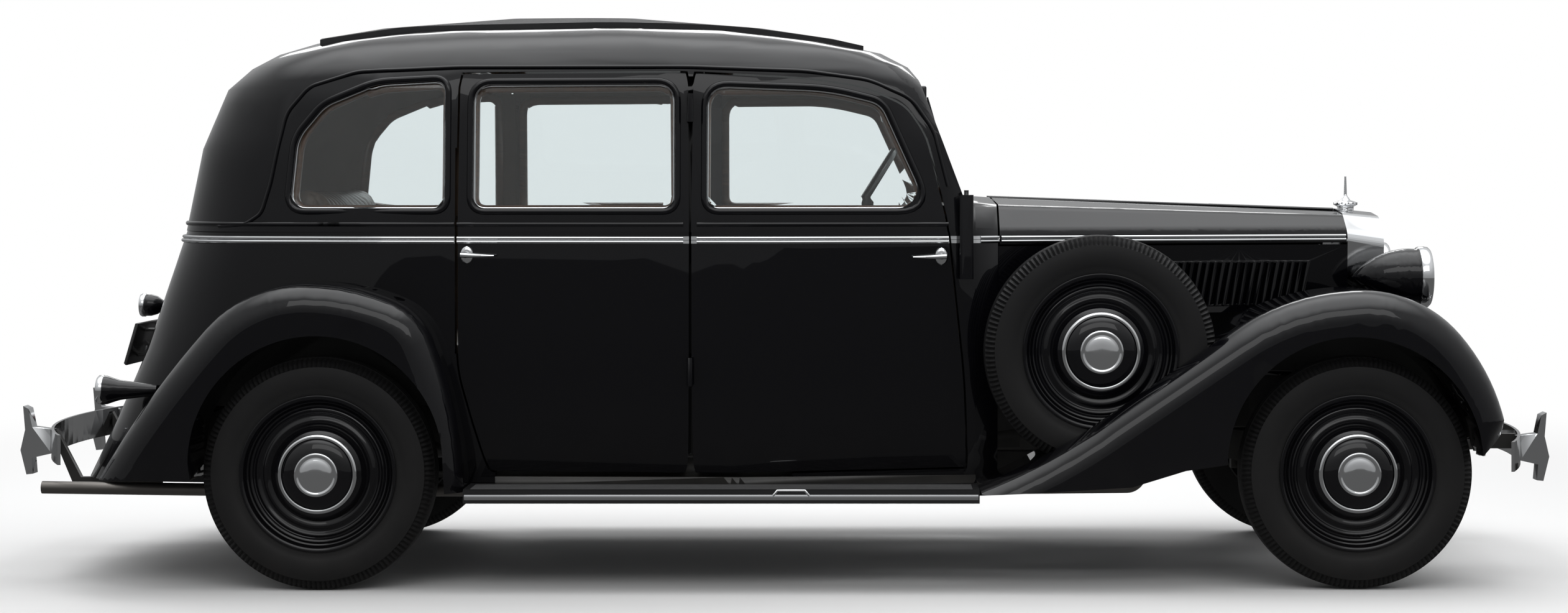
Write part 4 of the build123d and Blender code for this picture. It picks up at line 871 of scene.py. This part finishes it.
def side_run(x_from, x_to, z, proud, step=0.03, side=1):
    """Points along the body's side at one height."""
    count = max(2, int(abs(x_to - x_from) / step))
    return [on_side(x_from + (x_to - x_from) * i / count, z, proud, side) for i in range(count + 1)]


class LIMOUSINE_OT_mouldings(bpy.types.Operator):
    """The ridge above the belt, and the plated lines of belt, cowl and bonnet"""

    bl_idname = "limousine.mouldings"
    bl_label = "Mouldings"

    def execute(self, context):
        trim = context.scene.limousine_trim
        z, radius = trim.ridge_z, trim.ridge
        gap, hinge_gap = 0.004, 0.020
        runs = (
            ("door_front", X_B_POST + hinge_gap, X_B_POST + 0.765),
            ("door_rear", X_QUARTER + gap, X_B_POST - hinge_gap),
            ("quarter", X_REAR - 0.02, X_QUARTER - gap),
        )
        for label, x_from, x_to in runs:
            ridge = rod(side_run(x_from, x_to, z, radius * 0.2), radius)
            strip = joined([rod(side_run(x_from, x_to, level, 0.0), half) for level, half in STRIP_LINES])
            body = "body" if label == "quarter" else label
            finish_pair(ridge, f"ridge_{label}", "body_paint", body)
            finish_pair(strip, f"strip_{label}", "chrome", body)
        finish_piece(rod(round_tail(z, radius * 0.2), radius), "ridge_tail", "body_paint")
        tail_strip = joined([rod(round_tail(level, 0.0), half) for level, half in STRIP_LINES])
        finish_piece(tail_strip, "strip_tail", "chrome")
        bonnet_from, bonnet_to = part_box("bonnet_left")[0].x + gap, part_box("bonnet_left")[1].x - gap
        for side, sign in SIDES:
            for label, body, x_from, x_to in (
                ("bonnet", f"bonnet_{side}", bonnet_from, bonnet_to),
                ("cowl", "body", bonnet_from - 0.065, bonnet_from - 0.008),
            ):
                lines = [rod(side_run(x_from, x_to, level, 0.001, side=sign), 0.005) for level, _ in STRIP_LINES]
                finish_piece(joined(lines), f"{label}_strip_{side}", "chrome", body)
        return {"FINISHED"}


# Stations and heights of the raised edge along the side
PANEL_EDGE = (
    (X_REAR - 0.330, 1.066), (X_REAR - 0.245, 1.072), (X_REAR - 0.195, 1.105), (X_REAR - 0.168, 1.193),
    (X_REAR - 0.150, 1.284), (X_REAR - 0.122, 1.405), (X_REAR - 0.055, 1.482), (X_REAR + 0.090, 1.527),
    (X_REAR + 0.392, 1.540), (X_B_POST, 1.540), (X_B_POST + 0.340, 1.529), (X_B_POST + 0.530, 1.503),
    (X_B_POST + 0.655, 1.448), (X_B_POST + 0.722, 1.350), (X_B_POST + 0.778, 1.130),
)


class LIMOUSINE_OT_panel_edges(bpy.types.Operator):
    """The raised edge that runs up behind the side windows and over the doors"""

    bl_idname = "limousine.panel_edges"
    bl_label = "Panel edges"

    def execute(self, context):
        points = []
        for (x_a, z_a), (x_b, z_b) in zip(PANEL_EDGE, PANEL_EDGE[1:]):
            count = max(2, int(math.hypot(x_b - x_a, z_b - z_a) / 0.05))
            for i in range(count):
                points.append(on_side(x_a + (x_b - x_a) * i / count, z_a + (z_b - z_a) * i / count, 0.002, 1))
        finish_pair(rod(points, 0.0055, smooth_line=True), "panel_edge", "body_paint")
        return {"FINISHED"}


# Outline of the inner panel of a front wheel arch: stations from the front hub, and heights
VALANCE = (
    (-0.27, 0.505), (0.40, 0.480), (0.398, 0.560), (0.365, 0.640), (0.315, 0.700), (0.240, 0.760),
    (0.150, 0.800), (-0.10, 0.815), (-0.27, 0.790),
)
VALANCE_Y = 0.387


class LIMOUSINE_OT_valances(bpy.types.Operator):
    """Trim on the rear pillars, and the panels that close the front wheel arches inside"""

    bl_idname = "limousine.valances"
    bl_label = "Pillar trim and valances"

    def execute(self, context):
        deselect()
        bpy.ops.mesh.primitive_grid_add(x_subdivisions=4, y_subdivisions=16, size=1)
        trim = bpy.context.object
        width, height, z_middle = 0.044, 0.400, 1.300
        x_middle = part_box("door_rear_left")[0].x - 0.001
        for vert in trim.data.vertices:
            z = z_middle + vert.co.y * height
            # The lining stands inside the pillar's wall
            y = on_side(x_middle - 0.020, z, 0.0, 1).y - 0.0495
            vert.co = (x_middle + vert.co.x * width, y, z)
        finish_pair(closed_sheet(trim, 0.005), "pillar_trim", "trim_cloth")
        deselect()
        bpy.ops.mesh.primitive_circle_add(vertices=len(VALANCE), radius=1, fill_type="NGON")
        panel = bpy.context.object
        for vert, (x, z) in zip(panel.data.vertices, VALANCE):
            vert.co = (X_FRONT + x, VALANCE_Y, z)
        finish_pair(closed_sheet(panel, 0.003), "wing_valance", "chassis_paint")
        return {"FINISHED"}


# Door handles: round plate and neck as turned forms, and where each door's plate stands
HANDLE_PLATE = (
    (0.0005, 0.009), (0.010, 0.009), (0.017, 0.007), (0.020, 0.003), (0.020, -0.002), (0.0005, -0.002),
)
HANDLE_NECK = (
    (0.0005, 0.034), (0.008, 0.034), (0.0095, 0.030), (0.0085, 0.012), (0.010, 0.006), (0.0005, 0.006),
)
HANDLES = (("front", X_MIDDLE + 0.306, -1, 0.978), ("rear", X_MIDDLE - 1.100, 1, 0.983))
HANDLE_REACH = 0.084


class LIMOUSINE_OT_door_handles(bpy.types.Operator):
    """Plated handles with oval escutcheons"""

    bl_idname = "limousine.door_handles"
    bl_label = "Door handles"

    def execute(self, context):
        for door, x_plate, reach, z in HANDLES:
            skin = on_side(x_plate, z, 0.0, 1)
            plate, neck = turned(HANDLE_PLATE, 40), turned(HANDLE_NECK, 24)
            plate.data.transform(Matrix.Diagonal((1, 1, 1.35, 1)))
            for obj in (plate, neck):
                obj.data.transform(Matrix.Translation(skin))
            points = []
            for i in range(13):
                t = i / 12
                bow = 0.034 + 0.004 * math.sin(t * math.pi)
                points.append(skin + Vector((reach * (0.098 * t - 0.014), bow, -0.004 * t)))
            bar = rod(points, 0.0068, smooth_line=True)
            # The grip is taller at its root and thins towards the tip
            for vert in bar.data.vertices:
                t = max(0.0, min(1.0, (vert.co.x - skin.x) * reach / HANDLE_REACH))
                vert.co.z = skin.z + (vert.co.z - skin.z) * (1.15 - 0.65 * t)
            handle = smooth(joined([bar, plate, neck]), 45)
            finish_pair(handle, f"handle_{door}", "chrome", f"door_{door}")
        return {"FINISHED"}


# Lamp profiles: radius and distance forward of the lamp's mouth
HEAD_RIM = (
    (0.0822, 0.006), (0.0870, 0.0075), (0.0925, 0.002), (0.0945, -0.008), (0.0938, -0.026), (0.0900, -0.030),
    (0.0860, -0.020), (0.0825, -0.004), (0.0822, 0.006),
)
HEAD_LENS = (
    (0.0004, 0.0138), (0.020, 0.0134), (0.040, 0.0122), (0.060, 0.0095), (0.074, 0.0050), (0.0815, 0.0005),
    (0.0815, -0.005), (0.0600, 0.0035), (0.0300, 0.0078), (0.0004, 0.0088),
)
TAIL_RING = (
    (0.0358, -0.004), (0.0400, -0.0045), (0.0445, 0.0), (0.0450, 0.012), (0.0420, 0.016), (0.0362, 0.006),
    (0.0358, -0.004),
)
TAIL_GLASS = (
    (0.0004, -0.006), (0.015, -0.0056), (0.028, -0.003), (0.0355, 0.001), (0.0355, 0.005), (0.0004, 0.005),
)
FORWARD = (1, 0, 0)


class LIMOUSINE_OT_lamps(bpy.types.Operator):
    """Headlamp rims and lenses, tail lamp rings and glasses"""

    bl_idname = "limousine.lamps"
    bl_label = "Lamps"

    def execute(self, context):
        low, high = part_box("lamp_glass")
        head = (high.x - 0.014, 0.335, 0.906)
        tail = (low.x, 0.545, 0.574)
        for label, profile, segments, (x, y, z), degrees, finish in (
            ("headlamp_rim", HEAD_RIM, 72, head, 50, "chrome"),
            ("headlamp_lens", HEAD_LENS, 72, head, 60, "lamp_lens"),
            ("tail_lamp_ring", TAIL_RING, 48, tail, 50, "chrome"),
            ("tail_lamp_glass", TAIL_GLASS, 48, tail, 50, "red_lens"),
        ):
            for side, sign in SIDES:
                obj = smooth(turned(profile, segments, (x, sign * y, z), FORWARD), degrees)
                finish_piece(obj, f"{label}_{side}", finish)
        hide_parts("lamp_glass")
        return {"FINISHED"}


# Running boards: count, first place and pitch of the ribs, and the notch in the plated edge under the doors
RIB_COUNT = 13
RIB_Y = 0.672
RIB_PITCH = 0.0098
NOTCH_X = X_MIDDLE - 0.137
NOTCH_POINTS = (
    (NOTCH_X - 0.054, 0.004), (NOTCH_X - 0.040, 0.020), (NOTCH_X + 0.040, 0.020), (NOTCH_X + 0.054, 0.004),
)


class LIMOUSINE_OT_running_boards(bpy.types.Operator):
    """Ribbed rubber boards with a plated edge"""

    bl_idname = "limousine.running_boards"
    bl_label = "Running boards"

    def execute(self, context):
        low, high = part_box("running_boards")
        dressed(merged_copy("running_boards"), "running_boards", "board_rubber")
        for side, sign in SIDES:
            ribs = []
            for i in range(RIB_COUNT):
                y = sign * (RIB_Y + i * RIB_PITCH)
                ends = [(x, y, high.z - 0.0008) for x in (low.x + 0.02, high.x - 0.02)]
                ribs.append(rod(ends, 0.0024, resolution=1))
            finish_piece(joined(ribs), f"board_ribs_{side}", "board_rubber")
            y_edge = sign * (high.y - 0.0025)
            edge = block(
                (low.x + 0.003, y_edge - 0.0035, low.z + 0.010),
                (high.x - 0.003, y_edge + 0.0033, low.z + 0.026), 0.002, 2,
            )
            finish_piece(edge, f"board_edge_{side}", "chrome")
            z_strip = low.z + 0.018
            notch = [(x, y_edge + sign * 0.0012, z_strip + up) for x, up in NOTCH_POINTS]
            finish_piece(rod(notch, 0.0042), f"board_notch_{side}", "chrome")
        return {"FINISHED"}


# Pads: rounding, voxel size and how far they may swell; pleats: pitch and depth
PAD_BEVEL = 0.045
PAD_VOXEL = 0.012
SWELL = 0.022
PLEAT_PITCH = 0.062
PLEAT_DEPTH = 0.012
CLOTH_STEPS = 20


def puffed(obj):
    """Swells a pad by pressure in a cloth simulation, held to a limit."""
    only(obj)
    rest = [v.co.copy() for v in obj.data.vertices]
    cloth = obj.modifiers.new("cloth", "CLOTH")
    cloth.settings.use_pressure = True
    cloth.settings.uniform_pressure_force = 4
    cloth.settings.effector_weights.gravity = 0
    cloth.settings.quality = 3
    cloth.point_cache.frame_start = 1
    cloth.point_cache.frame_end = CLOTH_STEPS
    for step in range(1, CLOTH_STEPS + 1):
        bpy.context.scene.frame_set(step)
    bpy.ops.object.modifier_apply(modifier="cloth")
    bpy.context.scene.frame_set(1)
    for vert, was in zip(obj.data.vertices, rest):
        move = vert.co - was
        if move.length > SWELL:
            vert.co = was + move * (SWELL / move.length)
    return modified(obj, "SUBSURF", levels=1, render_levels=1)


def pleated(obj, face_normal):
    """Sews channels across the faces that look along a direction."""
    work = bmesh.new()
    work.from_mesh(obj.data)
    work.normal_update()
    for vert in work.verts:
        facing = max(0.0, vert.normal.dot(face_normal))
        crease = abs(math.sin(vert.co.y / PLEAT_PITCH * math.pi)) ** 0.35
        vert.co -= vert.normal * PLEAT_DEPTH * (1 - crease) * facing
    work.to_mesh(obj.data)
    work.free()
    return smooth(obj, 80)


class LIMOUSINE_OT_seats(bpy.types.Operator):
    """Pleated leather benches, front and rear"""

    bl_idname = "limousine.seats"
    bl_label = "Seats"

    def execute(self, context):
        # Each bench: foot of its base, top of its cushion, lean and depth of its back
        for name, base, cushion_top, lean, depth in (
            ("front_seat", 0.4783, 0.690, 0.15, 0.13),
            ("rear_seat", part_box("rear_seat")[0].z, 0.700, 0.19, 0.15),
        ):
            low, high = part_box(name)
            x_seat = low.x + lean
            y = high.y - 0.015
            cushion = block(
                (x_seat + 0.04, -y, base + 0.014), (high.x - 0.020, y, cushion_top - 0.018), PAD_BEVEL, 4,
            )
            modified(cushion, "REMESH", mode="VOXEL", voxel_size=PAD_VOXEL)
            pleated(puffed(cushion), Vector((0, 0, 1)))
            back = block((0, -y, 0), (depth, y, high.z - cushion_top + 0.10), PAD_BEVEL, 4)
            modified(back, "REMESH", mode="VOXEL", voxel_size=PAD_VOXEL)
            back.rotation_euler = (0, -math.atan2(lean + 0.02, high.z - cushion_top), 0)
            place(back)
            back.location = (x_seat - 0.020, 0, cushion_top - 0.115)
            pleated(puffed(place(back)), Vector((1, 0, 0.2)))
            for obj, label in ((cushion, "cushion"), (back, "back")):
                finish_piece(obj, f"{name}_{label}", "seat_leather")
            foot = block(
                (x_seat, -y + 0.01, low.z + 0.001), (high.x - 0.03, y - 0.01, base + 0.03), 0.012,
            )
            finish_piece(foot, f"{name}_base", "trim_cloth")
            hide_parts(name)
        return {"FINISHED"}


# Dials: place across the car and radius of each
DIALS = ((0.325, 0.055), (0.19, 0.040), (0.07, 0.040), (-0.25, 0.050))
DIAL_X = X_REAR + 1.745
DIAL_Z = 1.045
MIRROR_X = X_MIDDLE + 0.150


class LIMOUSINE_OT_cabin(bpy.types.Operator):
    """Dials on the dashboard, and the mirror over the windscreen"""

    bl_idname = "limousine.cabin"
    bl_label = "Cabin fittings"

    def execute(self, context):
        for i, (y, radius) in enumerate(DIALS):
            profile = (
                (0.0004, -0.002), (radius * 0.88, -0.002), (radius * 0.9, -0.008), (radius, -0.008),
                (radius, 0.002), (0.0004, 0.002),
            )
            dial = turned(profile, 40, (DIAL_X, y, DIAL_Z), FORWARD)
            finish_piece(smooth(dial, 40), f"dial_{i}", "dial_face")
        glass = block((-0.020, -0.110, -0.028), (0.0, 0.110, 0.028), 0.008)
        glass.rotation_euler = (0, math.radians(-12), 0)
        place(glass)
        glass.location = (MIRROR_X, 0, 1.421)
        place(glass)
        stalk = rod([(MIRROR_X, 0, 1.44), (MIRROR_X + 0.05, 0, 1.475)], 0.006)
        finish_piece(joined([glass, stalk]), "cabin_mirror", "black_plastic")
        return {"FINISHED"}


class LIMOUSINE_OT_wipers(bpy.types.Operator):
    """Two wipers hung from the header over the windscreen"""

    bl_idname = "limousine.wipers"
    bl_label = "Wipers"

    def execute(self, context):
        screen = surface(("fixed_glass",))
        for side, sign in SIDES:
            y = sign * 0.30
            points = []
            for step in range(60):
                hit, _, _, _ = screen.ray_cast(Vector((3, y, 1.60 - step * 0.01)), Vector((-1, 0, 0)))
                if hit is not None and hit.x > X_B_POST:
                    points.append(hit)
            top, foot = points[1], points[-4]
            down = (foot - top).normalized()
            out = Vector((-down.z, 0, down.x))
            if out.x < 0:
                out = -out
            head = block((-0.016, -0.024, -0.020), (0.016, 0.024, 0.020), 0.006)
            head.data.transform(Matrix.Translation(top - down * 0.020 + out * 0.018))
            line = [top + down * along + out * up for along, up in ((0, 0.030), (0.07, 0.026), (0.15, 0.016))]
            arm = rod(line, 0.0032, smooth_line=True)
            blade, lip = (
                rod([top + down * 0.035 + out * up, foot + out * up], radius)
                for up, radius in ((0.0125, 0.0030), (0.0065, 0.0026))
            )
            finish_piece(joined([head, arm, blade]), f"wiper_{side}", "black_plastic")
            finish_piece(lip, f"wiper_rubber_{side}", "tyre_rubber")
        return {"FINISHED"}


# Brake lamp and number panel at the tail
BRAKE_Z = 0.806
BRAKE_STAND = 0.128
BRAKE_RIM = (
    (0.0296, 0.000), (0.0340, -0.003), (0.0368, 0.002), (0.0366, 0.012), (0.0340, 0.015), (0.0296, 0.006),
    (0.0296, 0.000),
)
BRAKE_LENS = (
    (0.0004, -0.005), (0.014, -0.0042), (0.024, -0.0015), (0.0295, 0.002), (0.0295, 0.006), (0.0004, 0.006),
    (0.0004, -0.005),
)
PANEL_Z = 0.694
PANEL_STAND = 0.066
PANEL_TILT = 16


class LIMOUSINE_OT_tail(bpy.types.Operator):
    """The brake lamp, and the blank number panel under it"""

    bl_idname = "limousine.tail"
    bl_label = "Tail fittings"

    def execute(self, context):
        shell = surface(("rear_body",))

        def skin_x(y, z):
            return shell.ray_cast(Vector((-3, y, z)), Vector((1, 0, 0)))[0].x

        mouth = skin_x(0, BRAKE_Z) - BRAKE_STAND
        stalk = BRAKE_STAND + 0.004
        housing = (
            (0.0300, 0.004), (0.0345, 0.012), (0.0345, 0.030), (0.0290, 0.050), (0.0190, 0.064), (0.0120, 0.076),
            (0.0110, stalk - 0.012), (0.0240, stalk - 0.003), (0.0240, stalk), (0.0004, stalk), (0.0004, 0.008),
            (0.0300, 0.008), (0.0300, 0.004),
        )
        for label, profile, finish in (
            ("brake_lamp", housing, "body_paint"), ("brake_lamp_ring", BRAKE_RIM, "chrome"),
            ("brake_lamp_glass", BRAKE_LENS, "red_lens"),
        ):
            finish_piece(smooth(turned(profile, 48, (mouth, 0, BRAKE_Z), FORWARD), 50), label, finish)
        panel = block((-0.004, -0.230, -0.068), (0.004, 0.230, 0.068), 0.003)
        corners = ((-0.225, -0.063), (0.225, -0.063), (0.225, 0.063), (-0.225, 0.063))
        plate = joined([panel, rod([(-0.004, y, z) for y, z in corners], 0.004, cyclic=True)])
        x_panel = skin_x(0, PANEL_Z) - PANEL_STAND
        plate.data.transform(Matrix.Rotation(math.radians(PANEL_TILT), 4, "Y"))
        plate.data.transform(Matrix.Translation((x_panel, 0, PANEL_Z)))
        stays = []
        for up in (-0.040, 0.040):
            for y in (-0.12, 0.12):
                z = PANEL_Z + up
                stays.append(rod([(x_panel + up * 0.28, y, z), (skin_x(y, z) + 0.004, y, z)], 0.006))
        finish_piece(joined([plate, *stays]), "number_panel", "blank_plate")
        return {"FINISHED"}


def seen_rays(tree):
    """A mask of 1 on the rays that show the background: camera and transmission."""
    rays = put(tree, "LightPath").outputs
    return maths(tree, "MAXIMUM", rays["Is Camera Ray"], rays["Is Transmission Ray"])


def eased(tree, value, start, end, low=0.0, high=1.0):
    """Runs smoothly from low to high while a value goes from start to end."""
    node = put(
        tree, "MapRange", {"interpolation_type": "SMOOTHSTEP"}, Value=value, From_Min=start, From_Max=end,
        To_Min=low, To_Max=high,
    )
    return node.outputs["Result"]


def mixed(tree, mask, first, second):
    """Two shaders mixed by a mask."""
    node = put(tree, "MixShader", Fac=mask)
    feed(tree, node.inputs[1], first.outputs[0])
    feed(tree, node.inputs[2], second.outputs[0])
    return node


def floor_material():
    """A pale floor that runs out to white, and is dark in reflections."""
    material, tree, shader = new_material("studio floor", (0.88, 0.88, 0.88), 0.7, Specular_IOR_Level=0.2)
    away = put(tree, "VectorMath", {"operation": "LENGTH"})
    feed(tree, away.inputs[0], object_place(tree))
    fade = eased(tree, away.outputs["Value"], 2.6, 7.0)
    shown = mixed(tree, maths(tree, "MULTIPLY", fade, seen_rays(tree)), shader, put(tree, "Emission"))
    dark = put(tree, "Emission", Color=(0.12, 0.12, 0.12, 1))
    last = mixed(tree, put(tree, "LightPath").outputs["Is Glossy Ray"], shown, dark)
    feed(tree, tree.nodes["Material Output"].inputs["Surface"], last.outputs[0])
    return material


def studio_world(world):
    """White to the camera and through glass, a soft room as light and a brighter one in reflections."""
    world.use_nodes = True
    tree = world.node_tree
    tree.nodes.clear()
    height = put(tree, "SeparateXYZ", Vector=put(tree, "TexCoord").outputs["Generated"]).outputs["Z"]
    ramp = put(tree, "ValToRGB", Fac=height)
    ends = ramp.color_ramp.elements
    ends[0].position = 0.03
    ends[0].color = (0.20, 0.205, 0.21, 1)
    ends[1].position = 0.85
    ends[1].color = (0.95, 0.95, 0.95, 1)
    ends.new(0.3).color = (0.34, 0.345, 0.35, 1)
    room = put(tree, "Background", Color=ramp.outputs["Color"], Strength=0.9)
    walls = eased(tree, height, 0.02, 0.7, 0.32, 0.80)
    ceiling = eased(tree, height, 0.72, 0.96, 0.0, 2.1)
    mirrored_room = put(
        tree, "Background", Color=(0.98, 0.99, 1.0, 1), Strength=maths(tree, "ADD", walls, ceiling),
    )
    lit = mixed(tree, put(tree, "LightPath").outputs["Is Glossy Ray"], room, mirrored_room)
    shown = mixed(tree, seen_rays(tree), lit, put(tree, "Background", Color=(1, 1, 1, 1), Strength=1.0))
    put(tree, "OutputWorld", Surface=shown.outputs[0])


class LIMOUSINE_OT_stage(bpy.types.Operator):
    """Pale floor, soft lights and the camera at the photograph's place"""

    bl_idname = "limousine.stage"
    bl_label = "Stage"

    def execute(self, context):
        scene = context.scene
        deselect()
        bpy.ops.mesh.primitive_circle_add(vertices=96, radius=40, fill_type="NGON", location=(0, 0, 0))
        floor = bpy.context.object
        floor.name = "floor"
        floor.data.materials.append(floor_material())
        scene.view_settings.view_transform = "Standard"
        world = bpy.data.worlds.new("studio")
        scene.world = world
        studio_world(world)
        for name, location, size, energy in (
            ("overhead", (0.2, 0.3, 4.6), (7.0, 2.6), 150),
            ("front_side", (0.4, -6.5, 5.2), (8.0, 2.6), 85),
            ("far_side", (-0.4, 6.0, 4.6), (7.0, 1.6), 90),
        ):
            light = bpy.data.lights.new(name, "AREA")
            light.shape = "RECTANGLE"
            light.size, light.size_y = size
            light.energy = energy
            lamp = bpy.data.objects.new(name, light)
            scene.collection.objects.link(lamp)
            lamp.visible_glossy = name != "overhead"
            lamp.location = location
            lamp.rotation_euler = (Vector((0, 0, 0.8)) - Vector(location)).to_track_quat("-Z", "Y").to_euler()
        camera_data = bpy.data.cameras.new("camera")
        camera = bpy.data.objects.new("camera", camera_data)
        scene.collection.objects.link(camera)
        camera.location = (0.2085, -8.995, 1.185)
        camera.rotation_euler = (math.pi / 2, 0, 0)
        camera_data.sensor_width = 36
        camera_data.lens = 64.6
        camera_data.shift_x = -0.0442
        camera_data.shift_y = -0.0765
        scene.camera = camera
        return {"FINISHED"}


STEPS = (
    LIMOUSINE_OT_finishes, LIMOUSINE_OT_panels, LIMOUSINE_OT_wheels, LIMOUSINE_OT_window_frames,
    LIMOUSINE_OT_mouldings, LIMOUSINE_OT_panel_edges, LIMOUSINE_OT_valances, LIMOUSINE_OT_door_handles,
    LIMOUSINE_OT_lamps, LIMOUSINE_OT_running_boards, LIMOUSINE_OT_seats, LIMOUSINE_OT_cabin,
    LIMOUSINE_OT_wipers, LIMOUSINE_OT_tail, LIMOUSINE_OT_stage,
)


class LIMOUSINE_PT_panel(bpy.types.Panel):
    """Lists the steps of the dressing"""

    bl_idname = "LIMOUSINE_PT_panel"
    bl_label = "Limousine"
    bl_space_type = "VIEW_3D"
    bl_region_type = "UI"
    bl_category = "Limousine"

    def draw(self, context):
        for group in (context.scene.limousine_paint, context.scene.limousine_trim):
            for name in group.bl_rna.properties.keys():
                if name not in ("rna_type", "name"):
                    self.layout.prop(group, name)
        for step in STEPS:
            self.layout.operator(step.bl_idname)


CLASSES = (PaintSettings, TrimSettings, *STEPS, LIMOUSINE_PT_panel)


def register():
    for cls in CLASSES:
        bpy.utils.register_class(cls)
    bpy.types.Scene.limousine_paint = bpy.props.PointerProperty(type=PaintSettings)
    bpy.types.Scene.limousine_trim = bpy.props.PointerProperty(type=TrimSettings)


def unregister():
    del bpy.types.Scene.limousine_trim
    del bpy.types.Scene.limousine_paint
    for cls in reversed(CLASSES):
        bpy.utils.unregister_class(cls)


def main():
    register()
    for step in STEPS:
        group, name = step.bl_idname.split(".")
        getattr(getattr(bpy.ops, group), name)()


if __name__ == "__main__":
    main()
